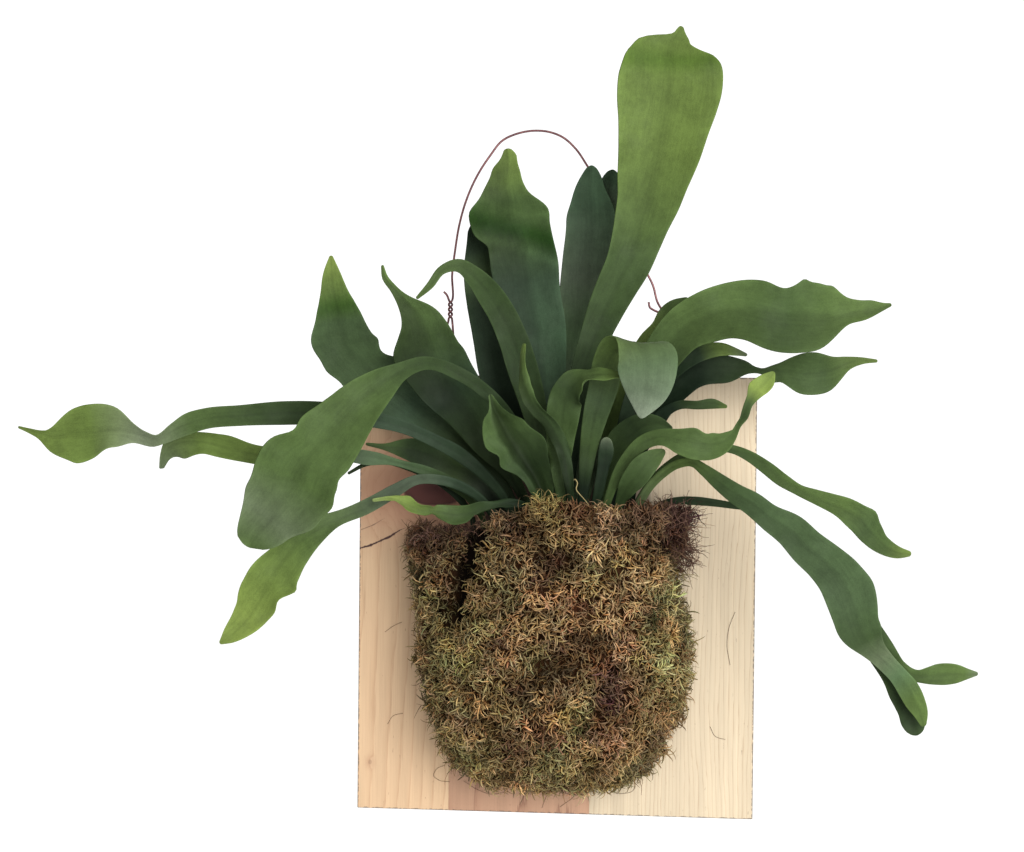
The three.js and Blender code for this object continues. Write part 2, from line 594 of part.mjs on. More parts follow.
function mossSolid() {
  const back = -BOARD_THICKNESS - SEAT_GAP;
  const outer = pouch(MOSS_COLUMNS, MOSS_LAYERS, (straight, share, layer, column) => {
    const inner = column > 0 && column < MOSS_COLUMNS && layer > 0 && layer < MOSS_LAYERS;
    const seed = layer * 61 + column;
    const angle = straight + (inner ? 4 * (chance(seed + 3000) - 0.5) : 0);
    const rim = lookup(RIM, angle)[0];
    const point = mossPoint(angle, share, 0, rim);
    const middle = mossPoint(90, share, 0, rim);
    const out = new THREE.Vector3(point.x - middle.x, point.y + BOARD_THICKNESS, 0).normalize();
    const relief = mossRelief(angle, point.z) * Math.min(1, angle / 8, (180 - angle) / 8);
    point.addScaledVector(out, Math.max(relief + CLUMP_JITTER * (chance(seed) - 0.5), 3 - MOSS_WALL));
    point.z += inner ? CLUMP_JITTER * (chance(seed + 5000) - 0.5) : 0;
    point.z += layer === MOSS_LAYERS ? 1.5 * Math.sin(angle * 0.5) : 0;
    return point;
  }, back);
  const sprigs = [];
  for (let index = 0; index < SPRIG_COUNT; index += 1) sprigs.push(sprig(index));
  const behind = Manifold.cube([400, 60, 400]).translate([-200, back, -200]);
  const clump = Manifold.union([outer, ...sprigs]).subtract(Manifold.union([behind, hollow(0, back + 2)]));
  return clump.decompose().sort((a, b) => b.volume() - a.volume())[0];
}

// Round bar between two points, with a flat at each end
function bar(from, to, radius, sides) {
  const axis = new THREE.Vector3().subVectors(to, from);
  const turn = new THREE.Matrix4().makeRotationFromQuaternion(
    new THREE.Quaternion().setFromUnitVectors(new THREE.Vector3(0, 0, 1), axis.clone().normalize()),
  );
  turn.setPosition(from);
  return Manifold.cylinder(axis.length(), radius, radius, sides).transform(turn.elements);
}

// Peat and roots, with a plain socket for every petiole
function rootBall() {
  const above = Manifold.cube([400, 400, 200]).translate([-200, -300, SOIL_TOP]);
  const sockets = FRONDS.map(({ stations }) => {
    const [low, high] = stations.map(([x, depth, z]) => new THREE.Vector3(x, -BOARD_THICKNESS - depth, z));
    const along = new THREE.Vector3().subVectors(high, low);
    low.addScaledVector(along, -SEAT_GAP * 2 / along.length());
    return bar(low, high, Math.max(stations[0][3], stations[1][3]) / 2 + SOCKET_CLEARANCE, 6);
  });
  return hollow(SEAT_GAP, -BOARD_THICKNESS - SEAT_GAP).subtract(Manifold.union([above, ...sockets]));
}

function stave(left, right) {
  const size = [right - left, BOARD_THICKNESS, BOARD_HEIGHT];
  const eye = left < -EYE_X && right > -EYE_X ? -EYE_X : EYE_X;
  const hole = bar(
    new THREE.Vector3(eye, EYE_Y, BOARD_HEIGHT / 2 - EYE_SHANK_DEPTH - SEAT_GAP),
    new THREE.Vector3(eye, EYE_Y, BOARD_HEIGHT / 2 + 5),
    EYE_ROD_RADIUS + SEAT_GAP,
    12,
  );
  return Manifold.cube(size).translate([left, -BOARD_THICKNESS, -BOARD_HEIGHT / 2]).subtract(hole);
}

// Ring standing across the board's edge on a straight shank
function screwEye(x) {
  const sides = 6;
  const section = [];
  for (let k = 0; k < sides; k += 1) {
    const angle = (2 * Math.PI * k) / sides;
    section.push([EYE_RING_RADIUS + EYE_ROD_RADIUS * Math.cos(angle), EYE_ROD_RADIUS * Math.sin(angle)]);
  }
  const top = BOARD_HEIGHT / 2 + EYE_RING_HEIGHT;
  const ring = Manifold.revolve([section], 16).rotate([0, 90, 0]).translate([x, EYE_Y, top]);
  const shank = bar(
    new THREE.Vector3(x, EYE_Y, BOARD_HEIGHT / 2 - EYE_SHANK_DEPTH),
    new THREE.Vector3(x, EYE_Y, top - EYE_RING_RADIUS),
    EYE_ROD_RADIUS,
    8,
  );
  return ring.add(shank);
}

// One strand of a twist about an upright axis, from its low end to its high end
function strand(x, low, high, turns, start) {
  const points = [];
  const count = Math.round(turns * 7);
  for (let k = 0; k <= count; k += 1) {
    const angle = start + (2 * Math.PI * turns * k) / count;
    const z = low + ((high - low) * k) / count;
    const y = EYE_Y + TWIST_RADIUS * Math.sin(angle);
    points.push(new THREE.Vector3(x + TWIST_RADIUS * Math.cos(angle), y, z));
  }
  return points;
}

function smooth(points, count) {
  return new THREE.CatmullRomCurve3(points, false, 'centripetal').getSpacedPoints(count);
}

// Whole wire as one line: tail, twist, loop through the left eye, bail, loop through the right eye, tail
function wireLine() {
  const at = (x, z, y = EYE_Y) => new THREE.Vector3(x, y, z);
  const ringTop = BOARD_HEIGHT / 2 + EYE_RING_HEIGHT + EYE_RING_RADIUS;
  const seat = ringTop - EYE_ROD_RADIUS - WIRE_RADIUS - WIRE_CLEARANCE;
  const leftTop = -79;
  const rightTop = 76;
  const leftTwist = strand(leftTop, 199, 213, 2, 0);
  const leftTail = strand(leftTop, 199, 213, 2, Math.PI).reverse();
  const rightTwist = strand(rightTop, 191, 200, 1.5, Math.PI).reverse();
  const rightTail = strand(rightTop, 191, 200, 1.5, 0);
  const loop = (x, from, to) => {
    const turn = to.x > from.x ? 1 : -1;
    const half = [[3.4, 185], [3.5, 176], [2.7, seat + 2], [1.3, seat + 0.4]];
    return [
      ...half.map(([reach, z]) => at(x - turn * reach, z)),
      at(x, seat),
      ...half.reverse().map(([reach, z]) => at(x + turn * reach, z)),
    ];
  };
  const bail = smooth([
    leftTwist[leftTwist.length - 1],
    at(-78, 231), at(-76, 249), at(-73, 268), at(-68, 286), at(-60, 304), at(-51, 318), at(-42, 329),
    at(-31, 334), at(-18, 336), at(-8, 335), at(2, 331), at(11, 323), at(20, 310), at(36, 284), at(51, 258),
    at(63, 234), at(68, 224), at(71, 213),
    rightTwist[0],
  ], 34).slice(1, -1);
  return [
    at(-84, 219), at(-82, 217), ...leftTail,
    ...loop(-EYE_X, leftTail[leftTail.length - 1], leftTwist[0]), ...leftTwist,
    ...bail, ...rightTwist,
    ...loop(EYE_X, rightTwist[rightTwist.length - 1], rightTail[0]), ...rightTail,
    at(73, 204, EYE_Y - 2), at(69, 206, EYE_Y - 3), at(66, 208, EYE_Y - 3), at(65, 212, EYE_Y - 3),
  ];
}

// Round wire swept along a line of points with the least turning of its section
function tube(points, radius, sides) {
  const positions = [];
  let side = new THREE.Vector3(0, 1, 0);
  points.forEach((point, i) => {
    const before = points[Math.max(i - 1, 0)];
    const after = points[Math.min(i + 1, points.length - 1)];
    const along = new THREE.Vector3().subVectors(after, before).normalize();
    side = side.clone().addScaledVector(along, -side.dot(along)).normalize();
    const other = new THREE.Vector3().crossVectors(along, side);
    for (let k = 0; k < sides; k += 1) {
      const angle = (2 * Math.PI * k) / sides;
      const place = point.clone().addScaledVector(side, radius * Math.cos(angle));
      positions.push(place.addScaledVector(other, radius * Math.sin(angle)).toArray());
    }
  });
  const triangles = [];
  for (let i = 0; i < points.length - 1; i += 1) {
    for (let k = 0; k < sides; k += 1) {
      const next = (k + 1) % sides;
      const [a, b, c, d] = [i * sides + k, i * sides + next, (i + 1) * sides + next, (i + 1) * sides + k];
      triangles.push([a, b, c], [a, c, d]);
    }
  }
  const end = (points.length - 1) * sides;
  for (let k = 1; k < sides - 1; k += 1) {
    triangles.push([0, k + 1, k], [end, end + k, end + k + 1]);
  }
  return toManifold(positions, triangles);
}

const fern = new THREE.Group();
fern.name = 'mounted_staghorn_fern';
const half = BOARD_WIDTH / 2;
fern.add(toNode('stave_left', stave(-half, SEAM_LEFT), PINE));
fern.add(toNode('stave_middle', stave(SEAM_LEFT, SEAM_RIGHT), PINE));
fern.add(toNode('stave_right', stave(SEAM_RIGHT, half), PINE));
fern.add(toNode('moss_pot', mossSolid(), MOSS_GREEN, 0.95));
fern.add(toNode('root_ball', rootBall(), PEAT, 0.95));
fern.add(toNode('screw_eye_left', screwEye(-EYE_X), STEEL, 0.4, 1));
fern.add(toNode('screw_eye_right', screwEye(EYE_X), STEEL, 0.4, 1));
fern.add(toNode('hanging_wire', tube(wireLine(), WIRE_RADIUS, WIRE_SIDES), COPPER, 0.4, 1));
FRONDS.forEach((frond) => fern.add(toNode(frond.name, frondSolid(frond), frond.colour, 0.6)));

export default fern;
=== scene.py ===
import math

import bpy
import numpy as np
from mathutils import Matrix, Vector


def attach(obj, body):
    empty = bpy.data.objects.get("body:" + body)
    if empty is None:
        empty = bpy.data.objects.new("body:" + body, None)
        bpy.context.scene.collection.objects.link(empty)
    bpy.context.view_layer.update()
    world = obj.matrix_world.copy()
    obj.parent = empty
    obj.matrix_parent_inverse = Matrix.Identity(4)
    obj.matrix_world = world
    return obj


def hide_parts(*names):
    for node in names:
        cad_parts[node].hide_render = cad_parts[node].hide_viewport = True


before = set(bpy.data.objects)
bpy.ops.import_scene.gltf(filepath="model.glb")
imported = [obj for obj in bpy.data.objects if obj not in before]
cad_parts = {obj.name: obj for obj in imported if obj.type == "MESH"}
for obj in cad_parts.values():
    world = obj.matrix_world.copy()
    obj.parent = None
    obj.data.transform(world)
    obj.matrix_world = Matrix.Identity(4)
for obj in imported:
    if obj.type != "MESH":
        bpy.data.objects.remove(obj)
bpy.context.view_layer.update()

# Looks of a staghorn fern grown in a moss pot on a pine board, hung by a copper wire.
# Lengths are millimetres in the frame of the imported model, with the board's back face on y = 0, the viewer
# towards -y and z up. add_piece turns them into metres. Materials, lights and the floor are in metres.
MM = 0.001

# Camera at the photograph's place: position, turn, tilt and roll in degrees, and focal length in pixels
CAMERA_PLACE = (67.4, -1217.0, 136.2)
CAMERA_YAW = 4.76
CAMERA_PITCH = -0.69
CAMERA_ROLL = -0.55
FOCAL_PIXELS = 1665.3
IMAGE_WIDTH = 1024
SENSOR_WIDTH = 36.0

# Floor, surroundings and soft light, in metres and watts
FLOOR_Z = -0.45
FLOOR_COLOUR = (0.92, 0.92, 0.91)
SKY_STRENGTH = 1.15
KEY_PLACE = (0.95, -1.9, 0.55)
KEY_AIM = (0.0, -0.05, 0.08)
KEY_SIZE = 1.3
KEY_POWER = 92.0

# Board of three staves
BOARD_LEFT = -143.0
BOARD_RIGHT = 143.0
BOARD_THICKNESS = 19.0
BOARD_HALF_HEIGHT = 158.0
SEAM_LEFT = -76.0
SEAM_RIGHT = 26.0
ARRIS = 0.7
SEAM_ARRIS = 0.2

# Screw eyes and the wire through them
EYE_X = 80.0
EYE_Y = -9.5
EYE_RING_HEIGHT = 8.4
EYE_RING_RADIUS = 4.8
EYE_ROD_RADIUS = 1.2
EYE_SHANK_DEPTH = 14.0
EYE_STEPS = 40
EYE_SIDES = 14
SHANK_POINTS = 60
THREAD_DEPTH = 0.22
THREAD_PITCH = 1.1
WIRE_RADIUS = 0.8
WIRE_POINTS = 900
WIRE_SIDES = 12
TWIST_RADIUS = 1.25
POINTS_PER_TURN = 14
# Twists of the wire above the eyes: middle, low end, high end and turns
LEFT_TWIST = (-79.0, 199.0, 213.0, 2.0)
RIGHT_TWIST = (76.0, 191.0, 200.0, 1.5)
# Half of the loop through an eye: reach to the side and height
LOOP_HALF = [(3.4, 185.0), (3.5, 176.0), (2.7, 170.75), (1.3, 169.15), (0.0, 168.75)]
# Bail between the twists, seen from the front
BAIL = [
    (-78, 231), (-76, 249), (-73, 268), (-68, 286), (-60, 304), (-51, 318), (-42, 329), (-31, 334),
    (-18, 336), (-8, 335), (2, 331), (11, 323), (20, 310), (36, 284), (51, 258), (63, 234), (68, 224),
    (71, 213),
]
LEFT_TAIL = [(-84, -9.5, 219), (-82, -9.5, 217)]
RIGHT_TAIL = [(73, -11.5, 204), (69, -12.5, 206), (66, -12.5, 208), (65, -12.5, 212)]

# Wood colours
KNOT_LIGHT = (0.062, 0.020, 0.016)
KNOT_DARK = (0.044, 0.014, 0.012)
KNOT_BARK = (0.018, 0.007, 0.006)
KNOT_HALO = (0.175, 0.082, 0.050)
CRACK = (0.026, 0.009, 0.009)
SPECK = (0.055, 0.030, 0.018)
# Painted shade behind the crown
CROWN_SHADE = (0.022, 0.014, 0.011)
ARRIS_GREY = (0.060, 0.050, 0.045)
# Early wood, late wood and line of a stave's rings
LEFT_TONES = ((0.340, 0.234, 0.142), (0.322, 0.217, 0.130), (0.285, 0.184, 0.108))
MIDDLE_TONES = ((0.245, 0.144, 0.091), (0.220, 0.124, 0.078), (0.150, 0.076, 0.048))
RIGHT_TONES = ((0.325, 0.268, 0.188), (0.308, 0.250, 0.172), (0.258, 0.193, 0.126))

# Knots in metres, as x, z, half width and half height; the large one lies on both sides of the left seam,
# and on the middle stave its dark heart and broad halo are partly painted shade under the crown
LARGE_KNOT = (-0.0865, 0.0755, 0.0235, 0.0125)
SMALL_KNOT = (-0.1338, -0.1242, 0.0013, 0.0018)
FULL_KNOT_WIDTH = 0.005
# Drying cracks in metres: strength, then points as x, z and relative width
CRACKS = [
    (1.0, [
        (-0.1430, 0.0315, 0.8), (-0.1350, 0.0338, 1.2), (-0.1279, 0.0371, 0.9), (-0.1205, 0.0405, 1.3),
        (-0.1133, 0.0453, 0.5), (-0.1090, 0.0470, 0.1),
    ]),
    (0.6, [(-0.1430, 0.0446, 0.7), (-0.1331, 0.0486, 1.0), (-0.1244, 0.0539, 0.1)]),
]
CRACK_WIDTH = 0.0019
# Painted shade on the board behind the crown, in metres, as x and z of its middle and its half sizes
CROWN_SHADE_MIDDLE = (0.004, 0.060)
CROWN_SHADE_HALF = (0.066, 0.048)
CROWN_SHADE_SHARE = 0.85

# Moss colours
TAN = (0.205, 0.140, 0.072)
FAWN = (0.240, 0.152, 0.090)
OLIVE = (0.140, 0.112, 0.052)
MEADOW = (0.155, 0.144, 0.064)
STRAW = (0.270, 0.220, 0.080)
RUST = (0.165, 0.090, 0.050)
BROWN = (0.095, 0.056, 0.034)
PLUM = (0.036, 0.014, 0.019)
UMBER = (0.056, 0.031, 0.023)
# Cast of the wall under the tufts, dark and reddish: painted shade in the gaps between the tufts, laid over
# the moss's own colour
SHELL_SHADE = np.array([0.12, 0.072, 0.054])

# Moss pot: rows of height, left edge, right edge and depth in front of the board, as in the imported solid
MOSS_ROWS = np.array([
    (-135, -22, 26, 16), (-130, -50, 52, 38), (-119, -67, 67, 63), (-102, -78, 79, 85), (-80, -87, 90, 98),
    (-56, -93, 96, 104), (-26, -95, 97, 106), (4, -98, 93, 106), (28, -104, 89, 105), (52, -104, 95, 103),
    (80, -102, 94, 100),
], float)
# Height of its rim at angles round the pot, in degrees from the left edge on the board
RIM = np.array([
    (0, 47), (40, 49), (55, 50), (64, 54), (74, 60), (84, 67), (94, 73), (106, 69), (140, 68), (165, 65),
    (180, 60),
], float)
MOSS_SQUARENESS = 2.6
MOSS_WALL = 13.0
# Peat inside: soil line, height up to which its rings could go, and how far it stays under the rim
SOIL_TOP = 50.0
PEAT_TOP = 100.0
PEAT_DROP = 8.0
# Gap between the board and what stands on it, and how much more the parts beside the edges keep off
SEAT_GAP = 0.3
SEAT_STEP = 0.6
# Wall under the tufts: how far it is drawn in, and how finely it is laid out
SHELL_INSET = 9.0
SHELL_COLUMNS = 121
SHELL_ROWS = 60
# Cleft down the front left: heights and angles along its line, half width in degrees, depth, height over
# which it fades out at its foot, and how much of the light it takes
CLEFT_HEIGHTS = (-22, -2, 16, 38, 57)
CLEFT_ANGLES = (48, 53.5, 59, 65, 68)
CLEFT_HALF_WIDTH = 6.2
CLEFT_DEPTH = 9
CLEFT_FADE = 26
CLEFT_SHADE = 0.93

# Tufts of moss: how many, how deep they root, how far they keep off the board, and how unevenly they stand
TUFTS = 5400
TUFT_INSET = 5.0
TUFT_CLEARANCE = 1.5
TUFT_JITTER = 0.02
TUFT_PIECES = 3
# Clumps that they gather in: size, and spread of brightness, of its red, green and blue, and of height
CLUMPS = 620
CLUMP_RADIUS = 7.5
CLUMP_LIGHT = 0.30
CLUMP_CAST = (0.07, 0.02, 0.06)
CLUMP_LIFT = 1.5
# Strands of a tuft: least and greatest length, turn in radians and radius, and scatter of their roots
STRANDS_PER_TUFT = 5
STRAND_LENGTHS = (6.0, 14.0)
STRAND_TURNS = (1.2, 4.6)
STRAND_RADII = (0.34, 0.72)
STRAND_SCATTER = 1.5
# How far the tufts run over the rim, as a share of the pot's height, and how near the board its relief
# eases away, in degrees
RIM_SHARE = 0.12
BOARD_EASE = 8
# Steps that spread points evenly over a square
EVEN_STEPS = (0.7548776662, 0.5698402910)
# Along a strand: places, thickness and colour cast; the cast is painted shade, darker and redder at the root
STRAND_SHARES = np.array([0.0, 0.28, 0.55, 0.8, 1.0])
STRAND_SIZES = np.array([0.8, 1.0, 0.95, 0.7, 0.05])
STRAND_SHADING = np.array([
    (0.66, 0.44, 0.28), (0.82, 0.68, 0.54), (0.87, 0.83, 0.76), (0.83, 0.84, 0.81), (0.76, 0.78, 0.77),
])

# Patches of colour in the moss, laid on in this order: x, z, radius and colour
MOSS_PATCHES = [
    (-7, 25, 7, PLUM), (43, -58, 13, PLUM), (40, -38, 11, PLUM), (-30, -17, 6, PLUM), (-26, -33, 6, RUST),
    (2, -60, 8, BROWN), (17, 31, 8, MEADOW), (76, 7, 13, MEADOW), (76, -30, 18, MEADOW), (89, -20, 8, OLIVE),
    (5, -102, 13, MEADOW), (-64, -37, 15, MEADOW), (-78, 4, 11, OLIVE), (12, -68, 6, STRAW),
    (-38, -78, 6, STRAW), (12, 47, 6, STRAW), (-1, 66, 9, STRAW), (-1, 76, 7, STRAW), (41, 52, 11, FAWN),
    (-9, 12, 8, FAWN), (23, 9, 9, RUST), (52, 18, 10, FAWN), (52, -21, 11, FAWN), (80, 52, 24, UMBER),
    (95, 60, 14, PLUM), (67, -92, 12, BROWN), (-63, -111, 12, TAN), (-84, 40, 18, UMBER),
    (-66, 54, 17, UMBER), (-16, -51, 12, BROWN), (-20, -92, 14, BROWN), (-36, -60, 10, OLIVE),
    (29, -24, 10, RUST), (-24, 2, 12, OLIVE), (0, -20, 16, TAN), (-8, -34, 8, OLIVE), (-20, 54, 14, BROWN),
    (20, 66, 12, RUST), (60, 68, 14, BROWN), (-84, -60, 12, OLIVE), (40, -84, 12, RUST), (58, 0, 8, TAN),
    (-48, 22, 9, OLIVE), (-50, -98, 12, MEADOW), (-46, -74, 15, TAN), (-50, -86, 10, TAN), (64, -84, 12, TAN),
    (6, 34, 14, BROWN), (10, -22, 12, BROWN), (4, -84, 11, BROWN),
]

# Bunches of wisps: place, spread, heading, how many, shortest and longest, colour
WISP_BUNCHES = [
    ((90, -58, 50), (7, 18, 14), (0.9, -0.3, 0.1), 100, 8, 19, UMBER),
    ((90, -58, 44), (7, 18, 16), (0.9, -0.3, -0.3), 60, 8, 19, BROWN),
    ((-64, -58, 47), (18, 34, 3), (0.0, -0.1, 1.0), 200, 6, 12, UMBER),
    ((94, -50, 32), (5, 14, 10), (0.9, -0.3, -0.5), 70, 8, 17, UMBER),
    ((-68, -92, 49), (20, 12, 3), (-0.1, -0.6, 0.6), 170, 4, 8, UMBER),
    ((84, -78, 66), (12, 14, 6), (0.5, -0.4, 0.7), 100, 6, 15, UMBER),
    ((92, -64, 60), (9, 14, 8), (0.8, -0.4, 0.5), 50, 6, 14, PLUM),
    ((-97, -34, 6), (3, 10, 16), (-0.9, -0.2, -0.4), 14, 8, 18, RUST),
    ((-96, -44, 44), (5, 14, 10), (-0.9, -0.3, 0.3), 50, 6, 12, BROWN),
    ((-58, -36, -114), (12, 6, 8), (-0.4, -0.1, -0.9), 60, 8, 17, RUST),
    ((-22, -34, -127), (22, 6, 3), (-0.1, -0.1, -1.0), 34, 5, 11, RUST),
    ((48, -34, -124), (22, 6, 5), (0.4, -0.1, -0.9), 26, 5, 12, BROWN),
    ((-1, -111, 70), (8, 3, 5), (0.0, -0.6, 0.6), 130, 3, 7, STRAW),
    ((95, -45, -20), (3, 14, 40), (0.9, -0.2, -0.2), 30, 5, 11, OLIVE),
    ((-92, -45, -40), (4, 14, 40), (-0.9, -0.2, -0.2), 30, 5, 12, BROWN),
    ((-30, -104, 56), (20, 5, 3), (0.0, -0.5, 0.5), 60, 5, 10, BROWN),
    ((45, -108, 64), (36, 5, 3), (0.0, -0.4, 0.6), 90, 4, 10, BROWN),
]
WISP_STEPS = 16
WISP_TURN = 0.42
WISP_RADII = (0.22, 0.45)
WISP_SUNK = 4
WISP_CLEARANCE = 0.8

# Fibres lying on the board and a root hanging from the crown, as (x, y, z)
BOARD_FIBRES = [
    [(-123.6, -19.4, -29.1), (-116.3, -19.6, -23.9), (-111.2, -19.4, -21.6)],
    [(128.9, -19.4, -9.6), (124.7, -19.5, -21.1), (123.5, -19.4, -33.3), (125.8, -19.5, -47.6)],
    [(-121, -19.4, -96), (-117, -19.6, -90), (-110, -19.4, -88)],
    [(112, -19.5, -92), (116, -19.4, -99), (123, -19.5, -101)],
    [(-79, -19.6, -125), (-85, -19.5, -128), (-87, -19.4, -133), (-83, -19.4, -136), (-75, -19.5, -137)],
    [(-65, -19.6, -136), (-55, -19.5, -142), (-46, -19.4, -145), (-33, -19.6, -143)],
    [(-25, -19.6, -131), (-21, -19.5, -137), (-21, -19.4, -145), (-24, -19.4, -152)],
    [(-2, -19.6, -141), (-5, -19.5, -146), (-8, -19.4, -154)],
    [(18, -19.6, -140), (15, -19.5, -145), (9, -19.4, -150), (5, -19.4, -153)],
    [(9, -19.5, -143), (17, -19.4, -144), (26, -19.5, -141)],
    [(37, -19.6, -139), (48, -19.5, -142), (58, -19.4, -139), (59, -19.6, -132)],
]
FIBRE_RADIUS = 0.13
FIBRE_POINTS = 24
AERIAL_ROOT = [
    (15.5, -103, 86), (17.4, -105, 87.6), (19.0, -106, 85.5), (18.4, -107, 81), (21.0, -108, 77.5),
    (24.4, -110, 74), (27.4, -111, 70), (29.5, -111, 66),
]
AERIAL_ROOT_POINTS = 60
AERIAL_ROOT_RADII = (0.42, 0.28)

# Leaf colours, from the shaded crown to the young tips and the felted underside
NIGHT = (0.004, 0.008, 0.004)
INK = (0.007, 0.013, 0.006)
DEEP = (0.011, 0.019, 0.007)
SHADE = (0.016, 0.027, 0.009)
BOTTLE = (0.023, 0.038, 0.012)
FOREST = (0.030, 0.048, 0.014)
GREEN = (0.038, 0.060, 0.016)
GRASS = (0.050, 0.074, 0.017)
YOUNG = (0.063, 0.090, 0.020)
LIME = (0.084, 0.114, 0.025)
GLOW = (0.115, 0.148, 0.050)
SAGE = (0.048, 0.063, 0.033)
DUSK = (0.028, 0.038, 0.023)
TEAL = (0.019, 0.034, 0.018)
SLATE = (0.014, 0.024, 0.013)
SPRUCE = (0.024, 0.039, 0.016)
CELADON = (0.034, 0.056, 0.025)
LICHEN = (0.053, 0.072, 0.046)
MIST = (0.074, 0.090, 0.054)
FELT = (0.118, 0.140, 0.104)

# Frond sections in millimetres, except LEAST_REACH and TIP_WIDTH, which are shares of a blade's width
PETIOLE_THICKNESS = 4.0
BLADE_THICKNESS = 1.5
MARGIN_THICKNESS = 1.0
NARROWEST = 2.0
LEAST_REACH = 0.2
TIP_ROUNDING = 5.0
TIP_WIDTH = 0.06
RIB_HEIGHT = 0.35
RIPPLE_HEIGHT = 0.35
BLADE_COLUMNS = 14
ROW_STEP = 2.2
TURN_SMOOTHING = 24
# Last rows before a tip, in row steps from it
TIP_ROWS = np.array([0.72, 0.45, 0.24, 0.1, 0.0])


def unit(vectors):
    """Vectors brought to length one."""
    return vectors / np.maximum(np.linalg.norm(vectors, axis=-1, keepdims=True), 1e-9)


def spline(knots, values, t):
    """Cubic through values at three or more knots; each tangent weighs the slopes on both sides by the other
    side's length."""
    gaps = np.diff(knots)
    slopes = np.diff(values, axis=0) / gaps[:, None]
    tangents = np.concatenate([slopes[:1], slopes])
    share = (gaps[1:] / (gaps[:-1] + gaps[1:]))[:, None]
    tangents[1:-1] = slopes[:-1] * share + slopes[1:] * (1 - share)
    i = np.clip(np.searchsorted(knots, t, side="right") - 1, 0, len(gaps) - 1)
    s = ((t - knots[i]) / gaps[i])[:, None]
    gap = gaps[i][:, None]
    return (
        (2 * s**3 - 3 * s**2 + 1) * values[i] + (s**3 - 2 * s**2 + s) * gap * tangents[i]
        + (3 * s**2 - 2 * s**3) * values[i + 1] + (s**3 - s**2) * gap * tangents[i + 1]
    )


def chords(points):
    """Length run along a line of points, from 0 at the first."""
    return np.concatenate([[0.0], np.cumsum(np.linalg.norm(np.diff(points, axis=0), axis=1))])


def fine_line(key, count):
    """Smooth line of many points through a few."""
    key = np.array(key, float)
    knots = chords(key)
    return spline(knots, key, np.linspace(0, knots[-1], count))


def grid_faces(rows, columns, closed=False):
    """Quads between neighbouring rows of points stored row by row; closed joins the last column and the
    first."""
    i, j = np.meshgrid(np.arange(rows - 1), np.arange(columns - (0 if closed else 1)), indexing="ij")
    following = (j + 1) % columns
    low = i * columns
    high = low + columns
    return np.stack([low + j, low + following, high + following, high + j], -1).reshape(-1, 4)


def fan_faces(hub, rim):
    """Triangles from a hub point to each pair of neighbours along a rim."""
    return np.stack([np.full(len(rim) - 1, hub), rim[:-1], rim[1:]], -1)


def capped(rings, first_hub, last_hub):
    """Closed rings of points, one on the next, with a fan to a hub point at each end."""
    rows, around = rings.shape[:2]
    points = np.concatenate([rings.reshape(-1, 3), [first_hub], [last_hub]])
    loop = np.append(np.arange(around), 0)
    faces = [grid_faces(rows, around, closed=True), fan_faces(rows * around, loop[::-1])]
    faces.append(fan_faces(rows * around + 1, loop + (rows - 1) * around))
    return points, faces


def tube(line, radius, sides):
    """Round bar: circles of the given radius, one number or one for each point, set square to a line of
    points with the least turning from one to the next, and closed by a fan at each end."""
    along = unit(np.gradient(line, axis=0))
    side = np.empty_like(line)
    carried = np.cross(along[0], (0.31, 0.87, 0.39))
    for i, direction in enumerate(along):
        carried = unit(carried - carried.dot(direction) * direction)
        side[i] = carried
    other = np.cross(along, side)
    angle = np.linspace(0, 2 * math.pi, sides, endpoint=False)[None, :, None]
    reach = np.broadcast_to(radius, len(line))[:, None, None]
    rings = line[:, None] + reach * (side[:, None] * np.cos(angle) + other[:, None] * np.sin(angle))
    return capped(rings, line[0], line[-1])


def joined(parts):
    """Several (points, list of face arrays) as one, with the later parts' numbers moved on."""
    points, faces, count = [], [], 0
    for part_points, part_faces in parts:
        points.append(part_points)
        faces.extend(group + count for group in part_faces)
        count += len(part_points)
    return np.concatenate(points), faces


def plain_tint(points, colour, factor):
    """One colour, made lighter or darker, for all points."""
    return np.tile(np.array(colour) * factor, (len(points), 1))


def add_piece(name, points, faces, nodes, slot, uv=None, tint=None, material=None):
    """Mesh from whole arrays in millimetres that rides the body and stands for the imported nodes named."""
    corners = np.concatenate([group.ravel() for group in faces]).astype(np.int32)
    sizes = np.concatenate([np.full(len(group), group.shape[1]) for group in faces])
    starts = np.concatenate([[0], np.cumsum(sizes)[:-1]]).astype(np.int32)
    mesh = bpy.data.meshes.new(name)
    mesh.vertices.add(len(points))
    mesh.vertices.foreach_set("co", np.ascontiguousarray(points * MM, np.float32).ravel())
    mesh.loops.add(len(corners))
    mesh.loops.foreach_set("vertex_index", corners)
    mesh.polygons.add(len(starts))
    mesh.polygons.foreach_set("loop_start", starts)
    mesh.polygons.foreach_set("use_smooth", np.ones(len(starts), bool))
    if uv is not None:
        layer = mesh.uv_layers.new(name="Surface")
        layer.data.foreach_set("uv", np.ascontiguousarray(uv[corners], np.float32).ravel())
    if tint is not None:
        colours = np.concatenate([tint, np.ones((len(tint), 1))], 1)
        layer = mesh.color_attributes.new(name="Tint", type="FLOAT_COLOR", domain="POINT")
        layer.data.foreach_set("color", np.ascontiguousarray(colours, np.float32).ravel())
    mesh.update(calc_edges=True)
    mesh.materials.append(material or materials[slot])
    piece = bpy.data.objects.new(name, mesh)
    bpy.context.scene.collection.objects.link(piece)
    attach(piece, "root")
    for node in nodes:
        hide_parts(node)


